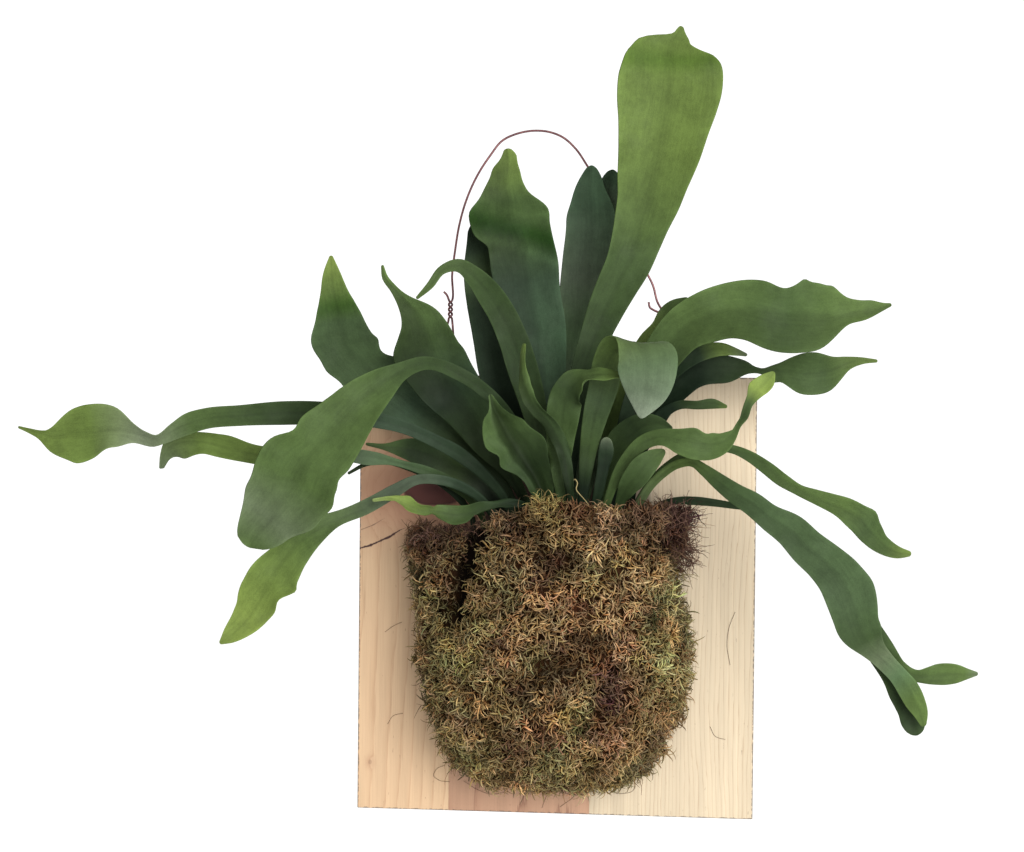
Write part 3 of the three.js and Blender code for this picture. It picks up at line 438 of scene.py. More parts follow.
# Materials
class Paint:
    """Node tree of one material, with a word for each kind of pattern used here."""

    def __init__(self, name, roughness, bump_distance, **constants):
        self.material = bpy.data.materials.new(name)
        self.material.use_nodes = True
        self.tree = self.material.node_tree
        self.shader = self.tree.nodes["Principled BSDF"]
        self.shader.inputs["Roughness"].default_value = roughness
        self.bump_distance = bump_distance
        for key, value in constants.items():
            self.shader.inputs[key.replace("_", " ")].default_value = value

    def node(self, kind, inputs, output=0, **settings):
        """New node with its settings and inputs; an input is a constant or another node's output."""
        node = self.tree.nodes.new(kind)
        for key, value in settings.items():
            setattr(node, key, value)
        for key, value in inputs.items():
            if isinstance(value, bpy.types.NodeSocket):
                self.tree.links.new(value, node.inputs[key])
            else:
                node.inputs[key].default_value = value
        return node.outputs[output]

    def coordinates(self, kind="Object"):
        return self.node("ShaderNodeTexCoord", {}, kind)

    def tint(self):
        return self.node("ShaderNodeAttribute", {}, "Color", attribute_name="Tint")

    def math(self, operation, *values):
        return self.node("ShaderNodeMath", dict(enumerate(values)), operation=operation)

    def add(self, first, *others):
        """Sum of several values."""
        for value in others:
            first = self.math("ADD", first, value)
        return first

    def subtract(self, first, second):
        return self.math("SUBTRACT", first, second)

    def multiply(self, first, second):
        return self.math("MULTIPLY", first, second)

    def offset(self, value, middle, half):
        """How far a value lies from a middle, in half sizes."""
        return self.math("DIVIDE", self.subtract(value, middle), half)

    def swing(self, value, size):
        """Noise about a half moved to swing about nought, at a size."""
        return self.multiply(self.subtract(value, 0.5), size)

    def length(self, first, second):
        """Distance of two offsets square to each other."""
        return self.math("SQRT", self.add(self.multiply(first, first), self.multiply(second, second)))

    def noise(self, vector, scale, detail=2.0, roughness=0.5):
        """Fractal noise; a scale of three numbers stretches it axis by axis."""
        if isinstance(scale, tuple):
            vector = self.node("ShaderNodeMapping", {"Vector": vector, "Scale": scale})
            scale = 1.0
        inputs = {"Vector": vector, "Scale": scale, "Detail": detail, "Roughness": roughness}
        return self.node("ShaderNodeTexNoise", inputs, "Fac")

    def ranged(self, value, low, high, new_low=0.0, new_high=1.0):
        """Value moved from one range to another with a smooth start and end."""
        inputs = {"Value": value, "From Min": low, "From Max": high, "To Min": new_low, "To Max": new_high}
        return self.node("ShaderNodeMapRange", inputs, interpolation_type="SMOOTHSTEP")

    def spread(self, value, low, high):
        """Noise brought between two values."""
        return self.ranged(value, 0.3, 0.7, low, high)

    def ramp(self, value, stops):
        """Colour between stops of (place, colour)."""
        node = self.tree.nodes.new("ShaderNodeValToRGB")
        elements = node.color_ramp.elements
        for place, colour in stops[2:]:
            elements.new(place)
        for element, (place, colour) in zip(elements, stops):
            element.position = place
            element.color = (*colour, 1.0)
        self.tree.links.new(value, node.inputs["Fac"])
        return node.outputs["Color"]

    def mix(self, share, first, second):
        """Colour between a first and a plain second colour, or between two outputs."""
        node = self.tree.nodes.new("ShaderNodeMix")
        node.data_type = "RGBA"
        self.tree.links.new(share, node.inputs[0])
        self.tree.links.new(first, node.inputs[6])
        if isinstance(second, bpy.types.NodeSocket):
            self.tree.links.new(second, node.inputs[7])
        else:
            node.inputs[7].default_value = (*second, 1.0)
        return node.outputs[2]

    def scaled(self, colour, factor):
        """Colour made lighter or darker by a factor that may vary."""
        return self.node("ShaderNodeVectorMath", {0: colour, "Scale": factor}, 0, operation="SCALE")

    def finish(self, colour, height, strength):
        """Material of a colour, with a height as its bump."""
        self.tree.links.new(colour, self.shader.inputs["Base Color"])
        inputs = {"Height": height, "Strength": strength, "Distance": self.bump_distance}
        self.tree.links.new(self.node("ShaderNodeBump", inputs, "Normal"), self.shader.inputs["Normal"])
        return self.material


def leaf_material(name):
    """Leathery green with long faint veins, soft blotches and a fine pale felt."""
    paint = Paint(name, 0.55, 0.0004, Specular_IOR_Level=0.04)
    place = paint.coordinates()
    blotches = paint.noise(place, 55.0, 3.0, 0.55)
    veins = paint.noise(paint.coordinates("UV"), (620.0, 60.0, 1.0), 3.0, 0.6)
    felt = paint.noise(place, 1500.0, 2.0, 0.7)
    mottles = paint.noise(place, 260.0, 3.0, 0.6)
    light = paint.add(
        paint.ranged(blotches, 0.25, 0.75, 0.86, 1.14), paint.spread(veins, -0.06, 0.06),
        paint.spread(felt, -0.10, 0.10), paint.spread(mottles, -0.06, 0.06),
    )
    frost = paint.ranged(paint.noise(place, 34.0, 4.0, 0.6), 0.45, 0.8, 0.0, 0.05)
    colour = paint.mix(frost, paint.scaled(paint.tint(), light), FELT)
    return paint.finish(colour, paint.add(paint.multiply(veins, 0.7), paint.multiply(felt, 0.3)), 0.35)


def moss_material():
    """Matt strands whose colour comes with the mesh, broken up finely."""
    paint = Paint("moss", 0.9, 0.0006, Specular_IOR_Level=0.03)
    grain = paint.noise(paint.coordinates(), 900.0, 2.0, 0.6)
    return paint.finish(paint.scaled(paint.tint(), paint.spread(grain, 0.82, 1.18)), grain, 0.4)


def peat_material():
    """Crumbly dark peat with lighter threads."""
    paint = Paint("peat", 0.95, 0.0012)
    crumbs = paint.noise(paint.coordinates(), 420.0, 4.0, 0.65)
    stops = [(0.3, (0.010, 0.006, 0.004)), (0.62, (0.05, 0.028, 0.016)), (0.8, (0.13, 0.08, 0.04))]
    return paint.finish(paint.ramp(crumbs, stops), crumbs, 0.8)


def metal_material(name, low, high, roughness):
    """Drawn metal with a thin uneven film."""
    paint = Paint(name, roughness, 0.00008, Metallic=0.85)
    film = paint.noise(paint.coordinates(), 260.0, 3.0, 0.6)
    return paint.finish(paint.ramp(film, [(0.3, low), (0.7, high)]), film, 0.2)


def add_knots(paint, colour, gaps):
    """Knots over the wood, by the distance from each one's middle: brown halo, dark heart and bark line."""
    for gap, half_width in gaps:
        size = min(1.0, half_width / FULL_KNOT_WIDTH)
        colour = paint.mix(paint.ranged(gap, 1.0, 5.0, 0.85 * size, 0.0), colour, KNOT_HALO)
        stops = [(0.0, KNOT_DARK), (0.45, KNOT_LIGHT), (0.8, KNOT_LIGHT), (1.0, KNOT_BARK)]
        colour = paint.mix(paint.ranged(gap, 0.86, 1.06, size, 0.0), colour, paint.ramp(gap, stops))
    return colour


def add_grey_edges(paint, colour, place, x, y, z):
    """Grey along the board's edges, where a place is near its face and near its side or end."""
    edge_band = paint.ranged(paint.noise(place, 260.0, 3.0, 0.7), 0.35, 0.6, 0.0002, 0.0011)
    half_thickness = BOARD_THICKNESS * MM / 2
    from_middle = paint.math("ABSOLUTE", paint.add(y, half_thickness))
    by_face = paint.math("LESS_THAN", paint.subtract(half_thickness, from_middle), edge_band)
    to_side = paint.subtract(BOARD_RIGHT * MM, paint.math("ABSOLUTE", x))
    to_end = paint.subtract(BOARD_HALF_HEIGHT * MM, paint.math("ABSOLUTE", z))
    by_edge = paint.math("LESS_THAN", paint.math("MINIMUM", to_side, to_end), edge_band)
    return paint.mix(paint.multiply(paint.multiply(by_face, by_edge), 0.75), colour, ARRIS_GREY)


def add_crown_shade(paint, colour, x, y, z, broad):
    """Painted shade on the board's front behind the crown, an ellipse with an edge that broad noise makes
    uneven.
    """
    across = paint.offset(x, CROWN_SHADE_MIDDLE[0], CROWN_SHADE_HALF[0])
    upward = paint.offset(z, CROWN_SHADE_MIDDLE[1], CROWN_SHADE_HALF[1])
    shade_reach = paint.add(paint.length(across, upward), paint.swing(broad, 0.3))
    in_front = paint.math("LESS_THAN", y, -BOARD_THICKNESS * MM + 0.001)
    return paint.mix(paint.multiply(paint.ranged(shade_reach, 0.8, 1.15, CROWN_SHADE_SHARE, 0.0), in_front), colour, CROWN_SHADE)


def add_cracks(paint, colour, place, x, z, cracks):
    """Dark cracks: the distance to each straight stretch between two points, set against a ragged width."""
    ragged = paint.noise(place, (420.0, 420.0, 420.0), 2.0, 0.6)
    for strength, crack in cracks:
        for (x0, z0, wide0), (x1, z1, wide1) in zip(crack[:-1], crack[1:]):
            length = math.hypot(x1 - x0, z1 - z0)
            ux, uz = (x1 - x0) / length, (z1 - z0) / length
            dx, dz = paint.subtract(x, x0), paint.subtract(z, z0)
            run = paint.add(paint.multiply(dx, ux), paint.multiply(dz, uz))
            run = paint.math("MINIMUM", paint.math("MAXIMUM", run, 0.0), length)
            off_x = paint.subtract(dx, paint.multiply(run, ux))
            off_z = paint.subtract(dz, paint.multiply(run, uz))
            wide = paint.add(wide0, paint.multiply(run, (wide1 - wide0) / length))
            reach = paint.multiply(paint.multiply(ragged, wide), CRACK_WIDTH * strength)
            near = paint.ranged(paint.length(off_x, off_z), paint.multiply(reach, 0.3), reach, strength, 0.0)
            colour = paint.mix(near, colour, CRACK)
    return colour


def pine_material(name, pith, spacing, tones, knots=(), cracks=()):
    """Sawn pine: yearly rings about a far upright pith line, bent by slow noise and round the knots. Each
    ring runs from pale early wood to a brown line. Fine fibres, resin specks, knots, grey edges, painted
    shade behind the crown and drying cracks lie over them. The pith is (x, y) and the spacing the width of a
    ring, in metres."""
    early, late, line = tones
    paint = Paint(name, 0.7, 0.00025, Specular_IOR_Level=0.2)
    place = paint.coordinates()
    split = paint.tree.nodes.new("ShaderNodeSeparateXYZ")
    paint.tree.links.new(place, split.inputs[0])
    x, y, z = split.outputs
    slow = paint.noise(place, (9.0, 9.0, 2.6), 2.0, 0.4)
    waver = paint.noise(place, (90.0, 90.0, 11.0), 3.0, 0.6)
    radius = paint.length(paint.subtract(x, pith[0]), paint.subtract(y, pith[1]))
    radius = paint.add(radius, paint.multiply(slow, 0.05), paint.multiply(waver, 0.0050))
    gaps = []
    for knot_x, knot_z, half_width, half_height in knots:
        across = paint.add(paint.offset(x, knot_x, half_width), paint.swing(waver, 0.9))
        gap = paint.length(across, paint.offset(z, knot_z, half_height))
        gaps.append((gap, half_width))
        radius = paint.add(radius, paint.multiply(paint.ranged(gap, 0.6, 3.6, 1.0, 0.0), 1.1 * half_width))
    rings = paint.math("FRACT", paint.math("DIVIDE", radius, spacing))
    fibre = paint.noise(place, (1500.0, 700.0, 26.0), 3.0, 0.65)
    broad = paint.noise(place, (120.0, 60.0, 7.0), 2.0, 0.5)
    stops = [(0.0, early), (0.5, early), (0.8, late), (0.9, line), (0.97, early)]
    colour = paint.ramp(paint.add(rings, paint.swing(fibre, 0.35)), stops)
    light = paint.add(paint.spread(fibre, 0.95, 1.04), paint.spread(broad, -0.06, 0.06))
    colour = paint.scaled(colour, light)
    flecks = paint.noise(place, (620.0, 620.0, 150.0), 2.0, 0.6)
    colour = paint.mix(paint.ranged(flecks, 0.70, 0.78, 0.0, 0.5), colour, SPECK)
    dots = paint.noise(place, (830.0, 470.0, 290.0), 2.0, 0.4)
    colour = paint.mix(paint.ranged(dots, 0.76, 0.82, 0.0, 0.6), colour, SPECK)
    colour = add_knots(paint, colour, gaps)
    colour = add_grey_edges(paint, colour, place, x, y, z)
    # Painted shade on the board behind the crown
    colour = add_crown_shade(paint, colour, x, y, z, broad)
    colour = add_cracks(paint, colour, place, x, z, cracks)
    return paint.finish(colour, fibre, 0.25)


materials = {slot: leaf_material(slot) for slot in ("leaf_dark", "leaf_green", "leaf_light")}
materials["moss"] = moss_material()
materials["peat"] = peat_material()
materials["steel"] = metal_material("steel", (0.42, 0.42, 0.43), (0.58, 0.58, 0.6), 0.35)
materials["copper"] = metal_material("copper", (0.075, 0.032, 0.036), (0.150, 0.066, 0.064), 0.45)
pine_left = pine_material(
    "pine_left", (-0.175, 0.06), 0.0062, LEFT_TONES, knots=[LARGE_KNOT, SMALL_KNOT], cracks=CRACKS,
)
# On the middle stave the large knot's heart and halo are partly painted shade under the crown
pine_middle = pine_material("pine_middle", (-0.01, 0.16), 0.0042, MIDDLE_TONES, knots=[LARGE_KNOT])
pine_right = pine_material("pine_right", (0.32, 0.08), 0.0026, RIGHT_TONES)


# Board
def stave(left, right, left_arris, right_arris):
    """Upright box with rounded edges: a rectangle with quarter round corners, drawn in towards both ends by a
    quarter round, ring on ring from the bottom up, with a flat face closing each end."""
    turn = np.linspace(0, math.pi / 2, 5)
    rows = []
    for angle in np.linspace(0, math.pi / 2, 4):
        rows.append((1 - math.sin(angle), -BOARD_HALF_HEIGHT + ARRIS * (1 - math.cos(angle))))
    rows += [(inset, -height) for inset, height in reversed(rows)]
    rings = []
    for inset, height in rows:
        for edge_x, edge_y, arris, start in (
            (right, 0.0, right_arris, 0.0), (left, 0.0, left_arris, 0.5 * math.pi),
            (left, -BOARD_THICKNESS, left_arris, math.pi),
            (right, -BOARD_THICKNESS, right_arris, 1.5 * math.pi),
        ):
            reach = max(arris * (1 - inset), 0.02)
            centre_x = edge_x + (1 if edge_x == left else -1) * (arris * inset + reach)
            centre_y = edge_y + (-1 if edge_y == 0.0 else 1) * (ARRIS * inset + reach)
            x, y = centre_x + reach * np.cos(start + turn), centre_y + reach * np.sin(start + turn)
            rings.append(np.stack([x, y, np.full(len(turn), height)], 1))
    around = 4 * len(turn)
    first = np.arange(around)[None, ::-1]
    last = np.arange(around)[None] + (len(rows) - 1) * around
    return np.concatenate(rings), [grid_faces(len(rows), around, closed=True), first, last]


for name, left, right, left_arris, right_arris, material in (
    ("stave_left", BOARD_LEFT, SEAM_LEFT, ARRIS, SEAM_ARRIS, pine_left),
    ("stave_middle", SEAM_LEFT, SEAM_RIGHT, SEAM_ARRIS, SEAM_ARRIS, pine_middle),
    ("stave_right", SEAM_RIGHT, BOARD_RIGHT, SEAM_ARRIS, ARRIS, pine_right),
):
    add_piece(name + "_sawn", *stave(left, right, left_arris, right_arris), [name], "pine", material=material)


# Screw eyes
def screw_eye(x):
    """Ring across the board's edge, as a circle swept round a circle, on a threaded and pointed shank."""
    top = BOARD_HALF_HEIGHT + EYE_RING_HEIGHT
    around = np.linspace(0, 2 * math.pi, EYE_STEPS, endpoint=False)[:, None]
    section = np.linspace(0, 2 * math.pi, EYE_SIDES, endpoint=False)[None, :]
    reach = EYE_RING_RADIUS + EYE_ROD_RADIUS * np.cos(section)
    ring = np.stack([
        x - EYE_ROD_RADIUS * np.sin(section) + 0 * around, EYE_Y + reach * np.cos(around),
        top + reach * np.sin(around),
    ], -1)
    faces = grid_faces(EYE_STEPS + 1, EYE_SIDES, closed=True) % (EYE_STEPS * EYE_SIDES)
    low = BOARD_HALF_HEIGHT - EYE_SHANK_DEPTH
    heights = np.linspace(low, top - EYE_RING_RADIUS, SHANK_POINTS)
    thread = THREAD_DEPTH * np.abs(np.sin((heights - low) * math.pi / THREAD_PITCH))
    thread = thread * (heights < BOARD_HALF_HEIGHT - 1)
    radius = (EYE_ROD_RADIUS - thread) * np.clip((heights - low) / 3 + 0.12, 0, 1)
    line = np.stack([np.full(SHANK_POINTS, x), np.full(SHANK_POINTS, EYE_Y), heights], 1)
    return joined([(ring.reshape(-1, 3), [faces]), tube(line, radius, EYE_SIDES)])


for side, x in (("left", -EYE_X), ("right", EYE_X)):
    add_piece(f"screw_eye_{side}_round", *screw_eye(x), [f"screw_eye_{side}"], "steel")


# Hanging wire
def strand(twist, start):
    """One of two strands wound about an upright line, from the low end up: a helix."""
    middle, low, high, turns = twist
    share = np.linspace(0, 1, int(turns * POINTS_PER_TURN) + 1)
    angle = start + 2 * math.pi * turns * share
    x, y = middle + TWIST_RADIUS * np.cos(angle), EYE_Y + TWIST_RADIUS * np.sin(angle)
    return np.stack([x, y, low + (high - low) * share], 1)


def wire_line():
    """Whole wire: tail, twist and loop through the left eye, bail, loop through the right eye, twist and
    tail."""
    def upright(rows):
        return np.array([(x, EYE_Y, z) for x, z in rows], float)

    def loop(x, coming, going):
        turn = 1 if going[0] > coming[0] else -1
        down = [(x - turn * reach, z) for reach, z in LOOP_HALF]
        up = [(x + turn * reach, z) for reach, z in LOOP_HALF[-2::-1]]
        return upright(down + up)

    left_up = strand(LEFT_TWIST, 0.0)
    left_down = strand(LEFT_TWIST, math.pi)[::-1]
    right_down = strand(RIGHT_TWIST, math.pi)[::-1]
    right_up = strand(RIGHT_TWIST, 0.0)
    return fine_line(np.concatenate([
        LEFT_TAIL, left_down, loop(-EYE_X, left_down[-1], left_up[0]), left_up, upright(BAIL),
        right_down, loop(EYE_X, right_down[-1], right_up[0]), right_up, RIGHT_TAIL,
    ]), WIRE_POINTS)


add_piece("hanging_wire_round", *tube(wire_line(), WIRE_RADIUS, WIRE_SIDES), ["hanging_wire"], "copper")


# Moss pot
def moss_point(angle, share, inset, top):
    """Point on the pot: a squared half ellipse whose left, right and depth change with height, drawn in by an
    inset. angle is in degrees from the left edge on the board and share the part of the height up to top."""
    bottom = MOSS_ROWS[0, 0] + inset
    z = bottom + (top - bottom) * share
    row = z - inset * (1 - share)
    left, right, depth = (np.interp(row, MOSS_ROWS[:, 0], MOSS_ROWS[:, k]) for k in (1, 2, 3))
    radians = np.radians(angle)
    power = 2 / MOSS_SQUARENESS
    middle = (left + right) / 2
    edge = np.where(angle < 90, np.minimum(left + inset, -2), np.maximum(right - inset, 2))
    x = middle + (edge - middle) * np.abs(np.cos(radians)) ** power
    y = -BOARD_THICKNESS - np.maximum(depth - inset, 2) * np.sin(radians) ** power
    return np.stack(np.broadcast_arrays(x, y, z), -1)


def cleft_depth(angle, z):
    """How deep in the cleft a place lies, from 0 beside it to 1 at its bottom: a bell curve across a line
    that leans to the right going up, fading out at the line's foot."""
    middle = np.interp(z, CLEFT_HEIGHTS, CLEFT_ANGLES)
    bell = np.exp(-(((angle - middle) / CLEFT_HALF_WIDTH) ** 2))
    return bell * np.clip((z + CLEFT_FADE) / CLEFT_FADE, 0, 1)


def moss_relief(angle, z):
    """How far the clumps stand out at an angle and height: bent waves across and upward, the cleft, and a
    hollow in the right edge under the crown."""
    across = 1.8 * np.sin(angle * 0.21 + 2.2 * np.sin(z * 0.061))
    upward = 1.7 * np.sin(z * 0.17 + 2.4 * np.sin(angle * 0.073 + 1))
    hollow = 7 * np.exp(-(((z - 20) / 22) ** 2)) * np.clip((angle - 140) / 25, 0, 1)
    return across + upward - hollow - CLEFT_DEPTH * cleft_depth(angle, z)


def board_ease(angle):
    """0 at the board, 1 a few degrees away from it on both sides."""
    return np.clip(np.minimum(angle, 180 - angle) / BOARD_EASE, 0, 1)


def rim_height(angle):
    """Height of the pot's rim at an angle, highest by the right of the crown."""
    return np.interp(angle, RIM[:, 0], RIM[:, 1]) + 1.5 * np.sin(angle * 0.5)


def outward(angle, share, top):
    """Level direction away from the pot's middle at an angle and share of the height."""
    here = moss_point(angle, share, 0.0, top)
    middle = moss_point(np.full_like(angle, 90.0), share, 0.0, top)
    across = here[..., 0] - middle[..., 0]
    return unit(np.stack([across, here[..., 1] + BOARD_THICKNESS, 0 * across], -1))


def against_board(rings):
    """Rings with both ends set a seat gap off the board's front, and the rest kept a little further off."""
    back = -BOARD_THICKNESS - SEAT_GAP
    rings[..., 1] = np.minimum(rings[..., 1], back - SEAT_STEP)
    rings[:, [0, -1], 1] = back
    return rings


def moss_shell(angle):
    """Wall of the pot, under the tufts: rings from the middle of the bottom up the outside, over the rim and
    down the inside to the middle again, open along the board and closed there by a strip on each side."""
    top = rim_height(angle)
    low_top = top - SHELL_INSET * 0.6
    rings = []
    for share in np.linspace(0, 1, SHELL_ROWS):
        place = moss_point(angle, share, SHELL_INSET, low_top)
        z = place[:, 2]
        lumps = 1.3 * np.sin(angle * 1.1 + 3 * np.sin(z * 0.31)) * np.sin(z * 0.45 + angle * 0.4)
        stand = (moss_relief(angle, z) + lumps) * board_ease(angle)
        rings.append(place + outward(angle, share, top) * stand[:, None])
    for share in np.linspace(1, 0, SHELL_ROWS):
        rings.append(moss_point(angle, share, MOSS_WALL, low_top))
    rings = against_board(np.array(rings))
    rows, columns = rings.shape[:2]
    hubs = rings[[0, -1], SHELL_COLUMNS // 2]
    hubs[:, 1] = -BOARD_THICKNESS - SEAT_GAP
    outer_hub, inner_hub = rows * columns, rows * columns + 1
    first = np.arange(columns)
    last = first + (rows - 1) * columns
    faces = [grid_faces(rows, columns), fan_faces(outer_hub, first[::-1]), fan_faces(inner_hub, last)]
    low = np.arange(SHELL_ROWS - 1)
    for column, turned in ((0, False), (columns - 1, True)):
        strip = np.stack([low, low + 1, rows - 2 - low, rows - 1 - low], -1) * columns + column
        strip = np.concatenate([strip, [[outer_hub, column, last[0] + column, inner_hub]]])
        faces.append(strip[:, ::-1] if turned else strip)
    return np.concatenate([rings.reshape(-1, 3), hubs]), faces


def moss_colour(places, rng):
    """Colour at places: a slow mix of tan and olive, the patches over it, and a shift for each place."""
    x, z = places[:, 0], places[:, 2]
    drift = 0.5 + 0.25 * np.sin(x * 0.11 + 2 * np.sin(z * 0.07))
    drift = drift + 0.25 * np.sin(z * 0.13 + 1.7 * np.sin(x * 0.05))
    colour = np.array(TAN) * drift[:, None] + np.array(OLIVE) * (1 - drift[:, None])
    for patch_x, patch_z, radius, tone in MOSS_PATCHES:
        distance = ((x - patch_x) ** 2 + (z - patch_z) ** 2) / radius**2
        share = (0.95 * np.exp(-distance))[:, None]
        colour = colour * (1 - share) + np.array(tone) * share
    colour = colour * np.exp(rng.normal(0, 0.10, (len(places), 1)))
    return colour * np.exp(rng.normal(0, 0.05, (len(places), 3)))


angle = np.linspace(0, 180, SHELL_COLUMNS)
points, faces = moss_shell(angle)
angle = np.append(np.tile(angle, 2 * SHELL_ROWS), [90, 90])
light = 1 - CLEFT_SHADE * np.minimum(1.6 * cleft_depth(angle, points[:, 2]), 1)
# Painted shade on the wall under the tufts, darker still in the cleft
tint = moss_colour(points, np.random.default_rng(4)) * SHELL_SHADE * light[:, None]
add_piece("moss_wall", points, faces, ["moss_pot"], "moss", tint=tint)


# Tufts
def tuft_places(rng, count):
    """Roots, outward directions and angles of the tufts, even over the pot's outside and over its rim."""
    trial = np.linspace(1, 179, 400)
    arc = chords(moss_point(trial, 0.7, 0.0, 60.0))
    order = np.arange(count)
    angle = np.interp((order * EVEN_STEPS[0] % 1) * arc[-1], arc, trial)
    profile = (order * EVEN_STEPS[1] + TUFT_JITTER * rng.normal(0, 1, count)) % 1 * (1 + RIM_SHARE)
    share = np.minimum(profile, 1.0)
    inward = np.clip((profile - 1) / RIM_SHARE, 0, 1)
    top = rim_height(angle)
    place = moss_point(angle, share, 0.0, top)
    out = outward(angle, share, top)
    depth = moss_relief(angle, place[:, 2]) * board_ease(angle)
    depth = depth - TUFT_INSET - inward * (MOSS_WALL - TUFT_INSET)
    root = place + out * depth[:, None]
    root[:, 2] -= 5.0 * np.clip((share - 0.9) / 0.1, 0, 1)
    root[:, 1] = np.minimum(root[:, 1], -BOARD_THICKNESS - TUFT_CLEARANCE)
    lift = np.clip((profile - 0.95) / 0.1, 0, 1)[:, None]
    droop = np.clip((0.12 - share) / 0.12, 0, 1)[:, None]
    facing = unit(out * (1 - 0.85 * lift) + np.array([0, 0, 1.0]) * lift - np.array([0, 0, 0.9]) * droop)
    return root, facing, angle


def strands(root, direction, bend, length, curl, radius, colour):
    """Small curled three sided strands, all at once: each leaves its root along its direction and runs on an
    arc of a circle towards its bend, thinning to a point; painted shade makes it darker and redder at the
    root than at the tip."""
    side = unit(np.cross(direction, bend))
    bend = unit(np.cross(side, direction))
    turn = curl[:, None, None] * STRAND_SHARES[None, :, None]
    reach = (length / curl)[:, None, None]
    run = reach * (direction[:, None] * np.sin(turn) + bend[:, None] * (1 - np.cos(turn)))
    along = direction[:, None] * np.cos(turn) + bend[:, None] * np.sin(turn)
    lateral = np.cross(along, side[:, None])
    corner = (np.arange(3) * 2 * math.pi / 3)[:, None]
    circle = side[:, None, None] * np.cos(corner) + 0.55 * lateral[:, :, None] * np.sin(corner)
    size = (radius[:, None] * STRAND_SIZES)[:, :, None, None]
    rings = (root[:, None] + run)[:, :, None] + circle * size
    tips = rings[:, -1].mean(1)
    points = np.concatenate([rings[:, :-1].reshape(len(root), -1, 3), tips[:, None]], 1)
    each = points.shape[1]
    quads = grid_faces(len(STRAND_SHARES) - 1, 3, closed=True)
    last = 3 * (len(STRAND_SHARES) - 2)
    tip = each - 1
    triangles = np.array([(last, last + 1, tip), (last + 1, last + 2, tip), (last + 2, last, tip), (0, 2, 1)])
    shift = (np.arange(len(root)) * each)[:, None, None]
    faces = [(quads[None] + shift).reshape(-1, 4), (triangles[None] + shift).reshape(-1, 3)]
    shading = np.concatenate([np.repeat(STRAND_SHADING[:-1], 3, 0), STRAND_SHADING[-1:]])
    return points.reshape(-1, 3), faces, (colour[:, None] * shading[None]).reshape(-1, 3)


rng = np.random.default_rng(11)
roots, facings, angles = tuft_places(rng, TUFTS)

# Clumps: each tuft belongs to the nearest of many centres, leans away from it, and sinks towards the edge
# of the clump, where painted shade makes it darker
centres = rng.choice(TUFTS, CLUMPS, replace=False)
nearest = np.array([np.argmin(((roots[centres] - root) ** 2).sum(1)) for root in roots])
lean = (roots - roots[centres[nearest]]) / CLUMP_RADIUS
lean -= (lean * facings).sum(1, keepdims=True) * facings
rise = 1 - np.clip((lean**2).sum(1), 0, 1.6)
clump_light = np.exp(rng.normal(0, CLUMP_LIGHT, (CLUMPS, 1)) + rng.normal(0, CLUMP_CAST, (CLUMPS, 3)))
clump_lift = rng.normal(0, CLUMP_LIFT, CLUMPS)[nearest]
cleft = cleft_depth(angles, roots[:, 2])
colours = moss_colour(roots, rng) * clump_light[nearest] * np.exp(rng.normal(0, 0.12, (TUFTS, 1)))
# Painted shade: the tufts get darker towards the rim
colours *= 1 - 0.25 * np.clip((roots[:, 2:] - 32) / 22, 0, 1)
# Painted shade: darker at the edge of a clump and in the cleft
colours *= ((0.66 + 0.48 * rise) * (1 - CLEFT_SHADE * np.minimum(1.3 * cleft, 1)))[:, None]
roots = roots + facings * (2.4 * rise - 0.9 + clump_lift - 4.5 * cleft)[:, None]
facings = unit(facings + 1.1 * lean)

# Strands of each tuft, with fewer tufts in the cleft
kept = np.nonzero((cleft < 0.35) | (rng.random(TUFTS) < 0.5))[0]
each = np.repeat(kept, STRANDS_PER_TUFT)
direction = unit(facings[each] + 0.55 * rng.normal(0, 1, (len(each), 3)))
bend = rng.normal(0, 1, (len(each), 3)) - 0.4 * facings[each]
length = rng.uniform(*STRAND_LENGTHS, len(each)) * (1 - 0.6 * cleft[each])
curl = rng.uniform(*STRAND_TURNS, len(each))
radius = rng.uniform(*STRAND_RADII, len(each))
colour = colours[each] * np.exp(rng.normal(0, 0.08, (len(each), 1)))
root = roots[each] + STRAND_SCATTER * rng.normal(0, 1, (len(each), 3))
for number, part in enumerate(np.array_split(np.arange(len(each)), TUFT_PIECES)):
    shape = [values[part] for values in (root, direction, bend, length, curl, radius, colour)]
    points, faces, tint = strands(*shape)
    add_piece(f"moss_tufts_{number}", points, faces, ["moss_pot"], "moss", tint=tint)


# Wisps
def wisp(rng, start, heading, length, radius):
    """Long curly strand: a line whose heading turns a little at every step, thinning to its end."""
    turns = np.cumsum(rng.normal(0, WISP_TURN, (WISP_STEPS, 3)), 0)
    headings = unit(heading + turns)
    line = start + np.concatenate([[np.zeros(3)], np.cumsum(headings, 0)]) * (length / WISP_STEPS)
    line[:, 1] = np.minimum(line[:, 1], -BOARD_THICKNESS - WISP_CLEARANCE)
    return tube(line, radius * np.linspace(1, 0.35, WISP_STEPS + 1), 3)


rng = np.random.default_rng(23)
parts, tints = [], []
for place, spreads, heading, count, shortest, longest, tone in WISP_BUNCHES:
    for _ in range(count):
        start = np.array(place) + np.array(spreads) * rng.uniform(-1, 1, 3)
        along = unit(np.array(heading) + 0.45 * rng.normal(0, 1, 3))
        reach = rng.uniform(shortest, longest) + WISP_SUNK
        parts.append(wisp(rng, start - WISP_SUNK * along, along, reach, rng.uniform(*WISP_RADII)))
        tints.append(np.array(tone) * math.exp(rng.normal(0, 0.3)))
tint = np.repeat(np.array(tints), len(parts[0][0]), 0)
add_piece("moss_wisps", *joined(parts), ["moss_pot"], "moss", tint=tint)


